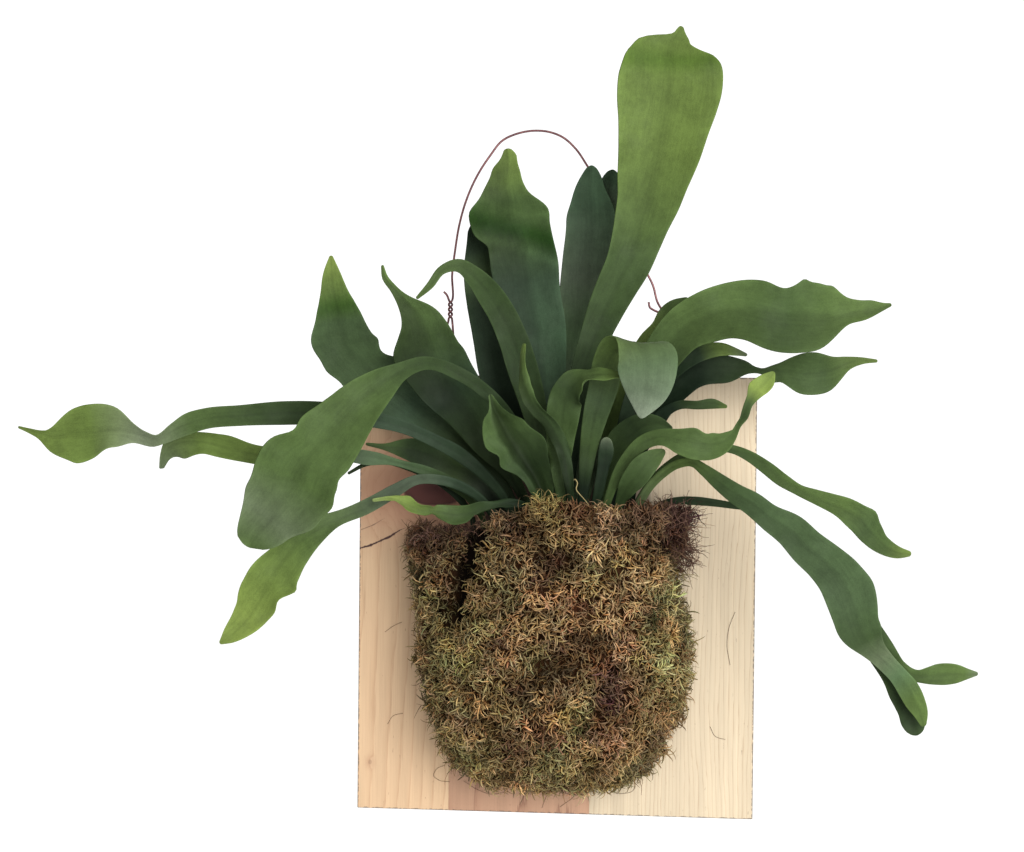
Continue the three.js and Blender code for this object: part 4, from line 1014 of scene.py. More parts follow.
# Peat
def peat_block():
    """Inside of the pot up to the soil line: rings from the middle of the bottom up, with a crumbly top."""
    inset = MOSS_WALL + SEAT_GAP
    angle = np.linspace(0, 180, 61)
    bottom = MOSS_ROWS[0, 0] + inset
    shares = np.linspace(0, (SOIL_TOP - bottom) / (PEAT_TOP - bottom), 30)
    rings = against_board(np.array([moss_point(angle, share, inset, PEAT_TOP) for share in shares]))
    rings[..., 2] = np.minimum(rings[..., 2], rim_height(angle) - PEAT_DROP)
    edge = rings[-1]
    centre = np.array([edge[30, 0], (edge[30, 1] - BOARD_THICKNESS - SEAT_GAP) / 2, SOIL_TOP])
    lids = []
    for share in np.linspace(0.9, 0.1, 9):
        ring = centre + (edge - centre) * share
        crumbs = 1.2 * np.sin(ring[:, 0] * 0.9 + 2 * np.sin(ring[:, 1] * 0.7))
        ring[:, 2] = SOIL_TOP - (SOIL_TOP - edge[:, 2]) * share**2 - 1.2 + crumbs
        lids.append(ring)
    return capped(np.concatenate([rings, lids]), rings[0].mean(0), centre)


add_piece("root_ball_peat", *peat_block(), ["root_ball"], "peat")

# Loose fibres and the aerial root
points, faces = joined([tube(fine_line(line, FIBRE_POINTS), FIBRE_RADIUS, 6) for line in BOARD_FIBRES])
add_piece("board_fibres", points, faces, [], "moss", tint=plain_tint(points, BROWN, 0.6))
radii = np.linspace(*AERIAL_ROOT_RADII, AERIAL_ROOT_POINTS)
points, faces = tube(fine_line(AERIAL_ROOT, AERIAL_ROOT_POINTS), radii, 6)
add_piece("aerial_root", points, faces, [], "moss", tint=plain_tint(points, OLIVE, 1.2))


# Fronds
def blade_path(stations, across):
    """Rows set evenly along a smooth midrib through the stations, and closer at the tip: for each row its
    centre, its direction to the side and out of the face, its width, its share of the way and the distance
    run. The turn about the midrib starts from a side parallel to the board, or to across where given."""
    table = np.array([(*row, 0.0)[:5] for row in stations], float)
    table[:, 1] = -BOARD_THICKNESS - table[:, 1]
    table[:, 4] = np.radians(table[:, 4])
    knots = chords(table[:, :3])
    end = knots[-1]
    trial = np.linspace(0, end, 500)
    arc = chords(spline(knots, table, trial)[:, :3])
    spaced = np.linspace(0, arc[-1], int(arc[-1] / ROW_STEP))
    distance = np.concatenate([spaced[:-1], arc[-1] - ROW_STEP * TIP_ROWS])
    t = np.interp(distance, arc, trial)
    before = spline(knots, table, np.maximum(t - end * 1e-3, 0))
    after = spline(knots, table, np.minimum(t + end * 1e-3, end))
    along = unit((after - before)[:, :3])
    for _ in range(TURN_SMOOTHING):
        along[1:-1] = (along[:-2] + 2 * along[1:-1] + along[2:]) / 4
    along = unit(along)
    if across:
        side = unit(np.array(across, float) - (along @ across)[:, None] * along)
    else:
        side = unit(np.cross(along, (0.0, -1.0, 0.0)))
    out = np.cross(side, along)
    rows = spline(knots, table, t)
    cos, sin = np.cos(rows[:, 4:]), np.sin(rows[:, 4:])
    side, out = side * cos + out * sin, out * cos - side * sin
    return rows[:, :3], side, out, np.maximum(rows[:, 3], NARROWEST), t / end, distance


def blade_colour(tones, bands, profile, v, w, s, under):
    """Colour along the blade between its tones, with painted fold shades across it and a painted light and
    shade profile from margin to margin; a painted highlight at the margin, painted shade in the groove of the
    midrib, and greyer underneath."""
    places, tones = zip(*tones)
    tones = np.array(tones)
    colour = np.stack([np.interp(s, places, tones[:, k]) for k in range(3)], -1)
    for place, half_band, factor, slant in bands:
        strength = np.exp(-(((s - place - slant * v) / half_band) ** 2))[..., None]
        colour = colour * (1 + (np.array(factor) - 1) * strength)
    # Painted highlight along the margin and painted shade in the groove of the midrib
    edge = (np.abs(v) ** 10 * 0.35 * np.clip(s * 3 - 0.6, 0, 1))[..., None]
    groove_shade = (0.15 * np.exp(-((v * w / 2 / 0.9) ** 2)))[..., None]
    profile = np.array(profile, float)
    # Painted light and shade across the blade, from margin to margin
    colour = colour * np.interp(v, profile[:, 0], profile[:, 1])[..., None]
    colour = colour * (1 + edge) * (1 - groove_shade * np.clip(s * 3, 0, 1)[..., None])
    return np.where(under[..., None], colour * 0.75 + np.array(SAGE) * 0.25, colour)


def blade(
    stations, tones, bumps=(), across=None, ruffle=2, waves=4, phase=0, cup=0.12, section=((-1, 0), (1, 0)),
    halves=(1, 1), profile=None, bands=(),
):
    """Lens shaped blade: a midrib through the stations, with its width laid off to both sides in the blade's
    own plane, margins that cup and ruffle, a rounded margin and tip, and a thicker stalk towards the root.
    Each bump is a swell or a notch of one margin, a bell curve of its height along the blade."""
    centre, side, out, width, share, distance = blade_path(stations, across)
    s, w, run = share[:, None], width[:, None], distance[:, None]

    # Ring of columns: the face from one margin to the other, then the underside back again
    v = np.sin(np.linspace(-math.pi / 2, math.pi / 2, BLADE_COLUMNS + 1))
    v = np.concatenate([v, v[-2:0:-1]])[None, :]
    under = (np.arange(v.shape[1]) > BLADE_COLUMNS)[None, :]

    # Half widths, drawn in to a round tip
    open_share = np.clip((run[-1] - run) / min(width[-1] / 2, TIP_ROUNDING), 0, 1)
    closing = np.maximum(np.sqrt(1 - (1 - open_share) ** 2), TIP_WIDTH)
    reach = w / 2
    for margin, place, half_length, height in bumps:
        bell = height * np.exp(-(((s - place) / half_length) ** 2))
        reach = reach + np.where(v * margin > 0, bell, 0)
    reach = np.maximum(reach, LEAST_REACH * w)

    # Heights off the blade's plane: fold, cup, ruffle and ripple, half the thickness to both sides, and rib
    envelope = np.clip((w / width.max() - 0.15) / 0.5, 0, 1)
    fold = np.interp(v, *np.array(section, float).T) * envelope
    bowl = cup * w * ((v * closing) ** 2 - 0.35)
    wave = np.sin(2 * math.pi * waves * s + phase + np.where(v < 0, 0, 1.9))
    frill = ruffle * envelope * np.abs(v) ** 2.5 * wave
    ripple = RIPPLE_HEIGHT * envelope * np.abs(v) ** 5 * np.sin(run * 0.47 + 2 * np.sin(run * 0.11))
    stalk = (PETIOLE_THICKNESS - BLADE_THICKNESS) * np.maximum(0, 1 - s / 0.4)
    middle = np.minimum(BLADE_THICKNESS + stalk, 0.7 * w)
    half = (MARGIN_THICKNESS + (middle - MARGIN_THICKNESS) * (1 - v**2)) / 2
    half = half * np.sqrt(np.maximum(1 - v**8, 0))
    rib = RIB_HEIGHT * np.exp(-((v * w / 2 / 1.1) ** 2)) * np.clip(s * 5, 0, 1) * np.clip((1 - s) * 3, 0, 1)
    height = fold + bowl + frill + ripple + np.where(under, -half - rib, half - 0.6 * rib) * closing
    rings = centre[:, None] + side[:, None] * (v * reach * closing)[..., None]
    rings = rings + out[:, None] * height[..., None]
    points, faces = capped(rings, centre[0], rings[-1].mean(0))

    profile = profile or [(-0.2, halves[0]), (0.2, halves[1])]
    colour = blade_colour(tones, bands, profile, v, w, s, under)
    tint = np.concatenate([colour.reshape(-1, 3), [colour[0].mean(0)], [colour[-1].mean(0)]])
    uv = np.stack(np.broadcast_arrays(v * w / 2, run), -1).reshape(-1, 2) * MM
    return points, faces, np.concatenate([uv, uv[:1], uv[-1:]]), tint


def frond(name, slot, tones, midrib, bumps=(), lobes=(), lobe_tones=None, **form):
    """One frond as one piece: its blade, and its lobes of the same form, each with its own tones if given."""
    blades = [blade(midrib, tones, bumps, **form)]
    blades += [blade(lobe, own, **form) for lobe, own in zip(lobes, lobe_tones or [tones] * len(lobes))]
    points, faces = joined([shape[:2] for shape in blades])
    uv, tint = (np.concatenate([shape[k] for shape in blades]) for k in (2, 3))
    add_piece(name + "_leaf", points, faces, ["frond_" + name], slot, uv, tint)


# Each midrib point is (x, depth in front of the board, z, width, turn in degrees). Tones run from the root,
# at 0, to the tip, at 1; their darker stretches are partly painted shade where the crown shades the blade. A
# fold shade is (share, half width, brightness, slant): a band of painted shade, or of painted highlight where
# its brightness is above one, across a fold. Shaded halves and a profile lighten or darken one side of a
# blade as painted light and shade. A bump is a notch or a swell of one margin: (margin, share, half length as
# a share, height). LEFT and RIGHT are the margins of a frond that stands up and is seen from the front.
LEFT = -1
RIGHT = 1

frond(
    "long_left", "leaf_green", ruffle=1.2,
    tones=[
        (0, INK), (0.2, INK), (0.28, SLATE), (0.38, SLATE), (0.45, DEEP), (0.55, SHADE), (0.68, FOREST),
        (0.77, MIST), (0.86, GRASS), (1, YOUNG),
    ],
    bumps=[
        (LEFT, 0.76, 0.016, 4.5), (LEFT, 0.83, 0.025, -4), (LEFT, 0.89, 0.02, 2.5), (RIGHT, 0.71, 0.02, -2.5),
        (RIGHT, 0.93, 0.045, -5),
    ],
    midrib=[
        (-27, 46, 39, 6), (-28, 48, 60, 6), (-33, 51, 72, 6), (-41, 56, 83, 7), (-53, 62, 95, 9),
        (-66, 67, 105, 10), (-79, 72, 112, 9), (-99, 78, 121, 9), (-118, 84, 126, 11), (-148, 92, 130, 15),
        (-177, 98, 130, 16), (-207, 102, 128, 14), (-228, 105, 126, 14), (-249, 107, 119, 14),
        (-262, 108, 112, 8, 40), (-269, 109, 114, 9, 40), (-277, 110, 116, 14, 20), (-289, 112, 118, 30),
        (-306, 112, 116, 38), (-320, 111, 115, 34), (-333, 109, 113, 22), (-342, 107, 115, 9),
        (-350, 105, 117, 5), (-359, 103, 119, 2),
    ],
)
frond(
    "low_left", "leaf_green", ruffle=0.8,
    tones=[(0, SHADE), (0.2, SHADE), (0.35, CELADON), (0.5, DUSK), (0.65, GRASS), (0.85, GRASS), (1, SAGE)],
    bumps=[(LEFT, 0.42, 0.04, 2.5), (LEFT, 0.92, 0.07, 5.5), (RIGHT, 0.76, 0.04, 1.5)],
    midrib=[
        (-47, 40, 39, 5), (-50, 41, 60, 5), (-58, 45, 72, 6), (-70, 50, 82, 8), (-88, 56, 91, 7),
        (-105, 60, 96, 5), (-120, 66, 100, 7), (-144, 76, 102, 10), (-170, 84, 102, 13), (-195, 88, 101, 13),
        (-207, 90, 103, 13), (-222, 90, 107, 15), (-236, 90, 110, 13), (-246, 90, 110, 13, 10),
        (-257, 89, 107, 12, 20), (-263, 87, 101, 6, 40), (-266, 85, 91, 2, 50),
    ],
)
frond(
    "arched_left", "leaf_light", ruffle=3, waves=5,
    tones=[(0, DEEP), (0.35, DEEP), (0.5, SHADE), (0.65, FOREST), (0.84, FOREST), (0.93, SAGE), (1, FOREST)],
    bumps=[
        (RIGHT, 0.68, 0.09, -4), (RIGHT, 0.77, 0.022, -5), (RIGHT, 0.885, 0.025, -2.5),
        (RIGHT, 0.94, 0.045, -2.8), (LEFT, 0.785, 0.018, -2.2), (LEFT, 0.845, 0.015, 2.4),
        (LEFT, 0.925, 0.035, -6),
    ],
    midrib=[
        (-7, 48, 39, 6), (-6, 49, 60, 6), (-9, 53, 84, 8), (-20, 62, 113, 8), (-37, 75, 139, 9),
        (-60, 90, 157, 9), (-82, 104, 164, 9), (-97, 114, 158, 13), (-108, 121, 150, 23),
        (-122, 128, 138, 35), (-135, 132, 123, 44), (-146, 135, 109, 50), (-156, 136, 97, 56),
        (-164, 136, 82, 57), (-173, 134, 68, 57), (-181, 132, 58, 44), (-188, 130, 50, 30),
        (-191, 128.5, 45.5, 22), (-192, 128, 41.5, 16),
    ],
)
frond(
    "lower_left", "leaf_light", ruffle=2,
    tones=[
        (0, NIGHT), (0.12, INK), (0.22, SLATE), (0.32, DUSK), (0.4, DUSK), (0.65, GREEN), (0.8, YOUNG),
        (0.9, LIME), (1, LIME),
    ],
    bumps=[
        (RIGHT, 0.71, 0.06, -4), (RIGHT, 0.845, 0.03, 2), (LEFT, 0.55, 0.04, -1.8), (LEFT, 0.77, 0.012, 1.8),
        (LEFT, 0.81, 0.022, -5), (LEFT, 0.93, 0.06, -1),
    ],
    midrib=[
        (-38, 52, 39, 6), (-40, 53, 60, 6), (-48, 55, 71, 6), (-61, 59, 80, 7), (-76, 64, 85, 7),
        (-92, 72, 85, 7), (-105, 79, 78, 9), (-120, 86, 69, 10), (-136, 94, 61, 11), (-151, 101, 54, 16),
        (-164, 106, 45, 24), (-173, 109, 35, 29), (-179, 110, 26, 33), (-184, 110, 16, 34),
        (-192, 109, 3, 27), (-202, 107, -11, 20), (-212, 105, -20, 11), (-219, 103, -25, 2),
    ],
)
frond(
    "pointed_left", "leaf_dark", ruffle=2,
    bands=[(0.86, 0.03, (0.5, 0.65, 0.4), 0.0)],
    tones=[
        (0, INK), (0.35, SHADE), (0.5, TEAL), (0.65, SPRUCE), (0.82, SPRUCE), (0.88, GREEN), (0.93, GRASS),
        (1, LIME),
    ],
    bumps=[
        (RIGHT, 0.67, 0.045, -6.5), (LEFT, 0.69, 0.035, -4.5), (LEFT, 0.745, 0.02, -2),
        (LEFT, 0.79, 0.025, 2),
    ],
    midrib=[
        (-26, 25, 39, 6), (-27, 25, 60, 6), (-37, 27, 82, 9), (-62, 29, 108, 24), (-85, 32, 126, 33),
        (-110, 36, 144, 40), (-128, 42, 158, 45), (-139, 48, 169, 48), (-145, 53, 178, 44),
        (-147, 57, 188, 38), (-149, 60, 201, 29), (-151, 62, 213, 20), (-153, 62, 227, 12),
        (-154, 60, 239, 2),
    ],
)
frond(
    "horned_left", "leaf_dark", ruffle=2, halves=(0.78, 1.36),
    tones=[(0, INK), (0.35, SHADE), (0.55, INK), (0.65, DEEP), (0.93, FOREST), (1, GREEN)],
    bumps=[(RIGHT, 0.88, 0.07, -3), (RIGHT, 0.70, 0.04, -1), (LEFT, 0.71, 0.035, 3.5)],
    midrib=[
        (-16, 31, 39, 6), (-17, 32, 60, 6), (-28, 37, 86, 10), (-45, 43, 112, 25), (-61, 49, 137, 36),
        (-75, 54, 155, 43), (-84, 57, 170, 46), (-88, 60, 184, 39), (-92, 62, 197, 27), (-100, 64, 207, 15),
        (-108, 65, 216, 8), (-115, 66, 224, 5), (-117, 67, 232, 2),
    ],
)
frond(
    "recurved", "leaf_green", ruffle=0.6,
    tones=[(0, INK), (0.35, SHADE), (0.5, DEEP), (0.77, SHADE), (0.93, FOREST), (1, GREEN)],
    midrib=[
        (3, 40, 39, 6), (3, 42, 60, 6), (-1, 47, 85, 8), (-8, 54, 113, 13), (-13, 58, 137, 18),
        (-20, 61, 161, 21), (-28, 64, 185, 20), (-35, 67, 200, 19), (-42, 71, 211, 18), (-53, 79, 224, 13),
        (-63, 87, 230, 9), (-73, 93, 226, 6), (-80, 96, 216, 5), (-89, 97, 207, 2),
    ],
)
frond(
    "shaded_back", "leaf_dark", ruffle=1.5,
    tones=[
        (0, NIGHT), (0.4, NIGHT), (0.5, SLATE), (0.66, SLATE), (0.74, INK), (0.84, SHADE), (0.92, INK),
        (1, INK),
    ],
    midrib=[
        (-6, 22, 39, 6), (-6, 22, 60, 6), (-10, 20, 84, 11), (-21, 16, 119, 26), (-33, 14, 155, 40),
        (-40, 13, 187, 40), (-45, 13, 215, 40), (-49, 14, 239, 36), (-54, 16, 256, 23), (-59, 18, 267, 10),
    ],
)
frond(
    "tall_centre", "leaf_dark", ruffle=1.5, halves=(0.76, 1.2),
    bands=[(0.78, 0.028, (0.40, 0.66, 0.3), -0.055), (0.735, 0.012, 1.5, -0.055), (0.83, 0.02, 1.35, -0.03)],
    tones=[(0, DEEP), (0.35, SLATE), (0.5, TEAL), (0.65, SLATE), (0.76, SHADE), (0.86, BOTTLE), (1, YOUNG)],
    bumps=[
        (LEFT, 0.77, 0.02, -3), (LEFT, 0.85, 0.015, 2), (LEFT, 0.94, 0.02, 2), (RIGHT, 0.98, 0.015, 1.5),
        (RIGHT, 0.87, 0.02, -3.5), (RIGHT, 0.78, 0.03, 1),
    ],
    midrib=[
        (5, 32, 39, 6), (5, 33, 60, 6), (2, 35, 86, 10), (-3, 36, 120, 25), (-9, 36, 155, 35),
        (-13, 34, 190, 42), (-19, 32, 216, 45), (-22, 31, 235, 48), (-25, 31, 249, 47), (-29, 32, 258, 50),
        (-32, 35, 266, 55), (-33, 39, 273, 54), (-33, 42, 280, 43), (-35, 42, 289, 28), (-34, 38, 301, 17),
        (-34, 34, 310, 10), (-35, 31, 317, 4),
    ],
)
frond(
    "two_lobed", "leaf_dark", ruffle=1, halves=(0.95, 1.4),
    tones=[(0, SHADE), (0.35, DUSK), (0.55, CELADON), (0.7, DUSK), (0.9, TEAL), (1, TEAL)],
    bumps=[(LEFT, 0.87, 0.03, 1)],
    midrib=[
        (17, 22, 39, 7), (17, 22, 58, 9), (17, 21, 76, 19), (17, 19, 96, 28), (17, 18, 134, 34),
        (20, 16, 176, 38), (22, 14, 219, 40), (24, 14, 255, 37), (24, 16, 277, 31), (23, 19, 291, 21),
        (24, 22, 301, 12), (24, 24, 306, 5),
    ],
    lobes=[
        [
            (24, 11, 236, 8), (29, 11, 254, 18), (33, 12, 271, 19), (36, 13, 286, 17), (38, 15, 297, 14),
            (39, 17, 304, 6),
        ],
    ],
)
frond(
    "tallest", "leaf_green", ruffle=2,
    bands=[(0.925, 0.02, (0.7, 0.8, 0.6), 0.0)],
    tones=[(0, NIGHT), (0.2, INK), (0.35, DEEP), (0.55, BOTTLE), (0.77, GRASS), (1, GRASS)],
    bumps=[
        (LEFT, 0.952, 0.008, 2.5), (LEFT, 0.975, 0.012, -5), (LEFT, 0.91, 0.02, -1.3),
        (RIGHT, 0.98, 0.012, 2.8), (RIGHT, 0.955, 0.012, -2.5),
    ],
    midrib=[
        (11, 48, 39, 6), (11, 50, 60, 7), (12, 52, 92, 10), (16, 54, 127, 14), (21, 54, 158, 18),
        (29, 54, 185, 21), (36, 54, 203, 25), (43, 54, 218, 28), (51, 54, 234, 31), (56, 54, 249, 34),
        (60, 55, 263, 38), (64, 55, 276, 43), (67, 56, 291, 49), (71, 58, 309, 56), (74, 60, 327, 62),
        (76, 61, 341, 68), (78, 61, 355, 71), (78, 60, 367, 69), (78, 58, 376, 58), (79, 56, 382, 42),
        (80, 54, 387, 24), (83, 52, 392, 10), (86, 50, 397, 2),
    ],
)
frond(
    "folded_tongue", "leaf_light", ruffle=0, cup=0.05, across=(1, 0, -0.2), halves=(0.9, 0.95),
    tones=[
        (0, NIGHT), (0.2, NIGHT), (0.35, BOTTLE), (0.5, SPRUCE), (0.65, GREEN), (0.75, GREEN),
        (0.84, CELADON), (0.92, LICHEN), (1, FELT),
    ],
    midrib=[
        (20, 60, 39, 5), (21, 63, 60, 6), (23, 70, 84, 8), (26, 78, 108, 12), (31, 86, 132, 17),
        (36, 93, 150, 20), (40, 101, 167, 21), (47, 109, 175, 27), (57, 117, 177, 34), (64, 123, 171, 39),
        (65, 126, 157, 37), (64, 124, 142, 25), (61, 120, 129, 3),
    ],
)
frond(
    "ruffled_centre", "leaf_green", ruffle=2.4, waves=7,
    tones=[(0, SHADE), (0.55, BOTTLE), (0.72, SHADE), (0.82, FOREST), (0.92, GREEN), (1, GRASS)],
    midrib=[
        (7, 66, 39, 5), (8, 68, 60, 5), (7, 74, 84, 9), (7, 80, 108, 17), (9, 86, 130, 22), (12, 92, 144, 22),
        (18, 98, 152, 18, 30), (26, 105, 156, 13, 45), (35, 110, 157, 10, 48), (43, 113, 157, 9, 45),
        (50, 115, 156, 4, 45),
    ],
)
frond(
    "curled_centre", "leaf_green", ruffle=2.5, waves=3, halves=(0.55, 1.0),
    tones=[(0, INK), (0.4, DEEP), (0.7, SHADE), (0.85, FOREST), (1, GRASS)],
    midrib=[
        (14, 72, 39, 5), (14, 76, 60, 5), (13, 84, 87, 7), (9, 90, 108, 9), (1, 94, 124, 11, 15),
        (-11, 97, 139, 9, 30), (-17, 97, 154, 8, 40), (-18, 95, 167, 6, 30), (-17, 91, 178, 2),
    ],
)
frond(
    "channelled", "leaf_light", cup=0.3, ruffle=3, waves=3, phase=1.2,
    section=[(-1, 0), (-0.25, 6), (0, -2), (0.25, -3), (0.6, 1), (1, 3)],
    profile=[(-1, 1.25), (-0.4, 1.35), (-0.15, 0.4), (0.3, 0.75), (0.6, 1.4), (1, 1.1)],
    tones=[(0, DEEP), (0.3, SHADE), (0.5, DEEP), (0.8, BOTTLE), (1, BOTTLE)],
    bumps=[
        (LEFT, 0.93, 0.035, -5.5), (LEFT, 0.68, 0.045, -6), (LEFT, 0.48, 0.14, -8.5), (LEFT, 0.32, 0.05, -3),
        (RIGHT, 0.64, 0.09, 5), (RIGHT, 0.8, 0.04, 1.5),
    ],
    midrib=[
        (-2, 58, 39, 5), (-2, 60, 58, 6), (-5, 65, 72, 13), (-10, 70, 84, 25), (-18, 75, 97, 33),
        (-27, 80, 111, 34), (-33, 84, 123, 27), (-38, 86, 134, 13), (-40, 87, 144, 2),
    ],
)
frond(
    "wavy_rim", "leaf_light", halves=(0.92, 1.08), ruffle=2.2, waves=4,
    tones=[(0, NIGHT), (0.3, INK), (0.5, SHADE), (0.65, FOREST), (0.77, GRASS), (0.9, LIME), (1, GLOW)],
    bumps=[
        (LEFT, 0.465, 0.045, -6), (LEFT, 0.39, 0.03, -3), (LEFT, 0.6, 0.03, 0.8), (LEFT, 0.695, 0.02, -2),
        (LEFT, 0.865, 0.03, -3.3), (RIGHT, 0.46, 0.05, 2), (RIGHT, 0.7, 0.012, -1.5),
        (RIGHT, 0.825, 0.035, 2.6), (RIGHT, 0.93, 0.035, -2),
    ],
    midrib=[
        (-8, 70, 39, 5), (-8, 73, 58, 5), (-15, 78, 68, 5), (-26, 81, 71, 6), (-38, 83, 68, 7),
        (-48, 84, 65, 9), (-57, 85, 63, 12), (-65, 86, 63, 12), (-76, 87, 65, 9), (-86, 89, 66, 7),
        (-97, 91, 70, 7), (-106, 93, 74, 5), (-118, 95, 72, 2),
    ],
)
frond(
    "inner_left", "leaf_dark", ruffle=1, halves=(0.86, 1.15),
    tones=[
        (0, NIGHT), (0.2, NIGHT), (0.35, DUSK), (0.5, BOTTLE), (0.65, DEEP), (0.77, DEEP), (0.86, BOTTLE),
        (1, BOTTLE),
    ],
    midrib=[
        (-35, 28, 39, 5), (-37, 30, 60, 6), (-42, 34, 73, 10), (-53, 38, 85, 17), (-72, 43, 95, 23),
        (-90, 47, 103, 20), (-103, 51, 106, 14), (-116, 55, 107, 5), (-129, 58, 109, 2),
    ],
)
frond(
    "thin_left", "leaf_dark", ruffle=0.3,
    tones=[(0, NIGHT), (1, DEEP)],
    midrib=[
        (-56, 30, 39, 4), (-58, 33, 60, 4), (-65, 37, 70, 5), (-79, 41, 82, 5), (-98, 45, 91, 4),
        (-117, 49, 96.5, 4), (-130, 53, 94.5, 3), (-142, 55, 88, 2),
    ],
)
frond(
    "large_right", "leaf_green", ruffle=2, halves=(1.09, 0.77),
    tones=[
        (0, NIGHT), (0.35, INK), (0.55, FOREST), (0.65, FOREST), (0.77, BOTTLE), (0.93, GREEN), (1, GREEN),
    ],
    bumps=[
        (LEFT, 0.755, 0.03, -4.5), (LEFT, 0.8, 0.012, 2.5), (LEFT, 0.875, 0.02, 4.5), (LEFT, 0.96, 0.02, 2),
        (RIGHT, 0.76, 0.055, 3.5), (RIGHT, 0.89, 0.035, -5.5),
    ],
    midrib=[
        (40, 36, 39, 6), (41, 37, 60, 7), (45, 41, 86, 12), (51, 46, 110, 18), (58, 51, 134, 22),
        (67, 57, 158, 25), (78, 62, 177, 28), (90, 66, 190, 31), (104, 70, 197, 35), (117, 73, 201, 37),
        (130, 75, 202, 40), (146, 78, 199.8, 43), (157, 79, 198.3, 44), (167, 80, 197.4, 45),
        (179, 80, 197, 43), (188, 80, 197, 33), (197, 79, 199, 23), (206, 78, 201, 15), (216, 76, 203, 7),
        (226, 74, 206, 2),
    ],
)
frond(
    "second_right", "leaf_dark", ruffle=1.5,
    tones=[(0, INK), (0.55, NIGHT), (0.65, DEEP), (0.77, BOTTLE), (0.86, BOTTLE), (1, GRASS)],
    bumps=[(LEFT, 0.695, 0.02, -2.8), (RIGHT, 0.62, 0.04, 2.5), (RIGHT, 0.735, 0.018, 4.5)],
    midrib=[
        (47, 22, 39, 6), (47, 23, 60, 7), (48, 25, 80, 13), (52, 28, 102, 20), (60, 32, 122, 27),
        (70, 37, 142, 31), (82, 41, 155, 31), (95, 45, 163, 29), (111, 49, 164, 20), (124, 51, 164, 14),
        (134, 53, 164, 8), (144, 54, 162, 6, 20), (153, 55, 162, 10), (161, 56, 161, 20), (168, 57, 160, 27),
        (176, 57, 160, 29), (185, 57, 161, 26), (193, 57, 164, 16), (199, 56, 167, 10), (209, 55, 169, 5),
        (220, 54, 169, 2),
    ],
)
frond(
    "small_dark_right", "leaf_dark", ruffle=0.8,
    tones=[(0, NIGHT), (0.82, INK), (0.92, GRASS), (1, SAGE)],
    midrib=[
        (48, 30, 39, 5), (49, 31, 60, 5), (51, 34, 84, 6), (56, 38, 110, 8), (65, 43, 136, 10),
        (82, 50, 161, 11), (100, 56, 173, 11), (115, 60, 176, 9), (125, 62, 174, 5), (132, 63, 172, 2),
    ],
)
frond(
    "hidden_right", "leaf_dark", ruffle=1.5,
    tones=[(0, SHADE), (0.45, GREEN), (0.8, GRASS), (0.92, FOREST), (1, BOTTLE)],
    bumps=[(LEFT, 0.85, 0.04, -2)],
    midrib=[
        (36, 18, 39, 6), (36, 17, 58, 8), (38, 15, 80, 17), (41, 14, 100, 24), (49, 13, 128, 27),
        (58, 13, 154, 25), (66, 14, 177, 22), (73, 15, 191, 18), (79, 16, 201, 16), (84, 17, 208, 10),
        (93, 18, 213, 3),
    ],
)
frond(
    "dark_curl", "leaf_dark", ruffle=0.8,
    tones=[(0, NIGHT), (0.74, NIGHT), (0.86, SHADE), (0.95, BOTTLE), (1, GRASS)],
    midrib=[
        (54, 38, 39, 5), (54, 40, 60, 5), (56, 44, 84, 6), (62, 50, 109, 8), (72, 56, 128, 8),
        (87, 60, 138, 6), (99, 62, 138, 6), (109, 63, 139, 7), (119, 63, 137, 2),
    ],
)
frond(
    "s_curved", "leaf_green", ruffle=1,
    tones=[(0, BOTTLE), (0.77, FOREST), (0.82, SHADE), (0.87, BOTTLE), (0.92, LIME), (1, YOUNG)],
    bumps=[
        (LEFT, 0.56, 0.05, -2), (LEFT, 0.65, 0.03, -3), (LEFT, 0.785, 0.03, -3.5), (LEFT, 0.915, 0.02, 2),
        (RIGHT, 0.82, 0.025, 1.5),
    ],
    midrib=[
        (34, 68, 39, 5), (36, 71, 60, 5), (41, 77, 79, 6), (50, 86, 98, 9), (63, 94, 113, 10),
        (76, 100, 117, 12), (87, 103, 115, 19), (98, 104, 113, 22), (107, 104, 112, 19), (115, 105, 114, 13),
        (120, 106, 119, 8), (124, 107, 126, 5, 20), (128, 108, 133, 5, 20), (131, 108, 140, 6),
        (135, 108, 146, 9), (139, 108, 151, 12), (143, 107, 155, 10), (147, 106, 160, 2),
    ],
)
frond(
    "long_thin_right", "leaf_green", ruffle=0.6, halves=(1.12, 0.88),
    tones=[(0, BOTTLE), (0.5, BOTTLE), (0.77, GREEN), (0.86, BOTTLE), (0.93, FOREST), (1, YOUNG)],
    bumps=[
        (LEFT, 0.845, 0.018, 2.2), (LEFT, 0.905, 0.02, -1.5), (RIGHT, 0.57, 0.07, 3),
        (RIGHT, 0.75, 0.04, -3.2),
    ],
    midrib=[
        (50, 48, 39, 5), (55, 52, 60, 5), (63, 60, 77, 6), (77, 69, 94, 7), (92, 75, 105, 6),
        (107, 80, 110, 6), (121, 84, 109, 6, 20), (133, 87, 105, 6), (145, 90, 98, 6), (156, 93, 89, 7),
        (165, 95, 83, 7), (174, 97, 79, 10), (184, 99, 74, 15), (195, 100, 70, 17), (204, 100, 64, 18),
        (210, 100, 57, 17), (216, 99, 51, 15), (222, 97, 46, 11), (229, 95, 43, 8), (238, 93, 42, 3),
    ],
)
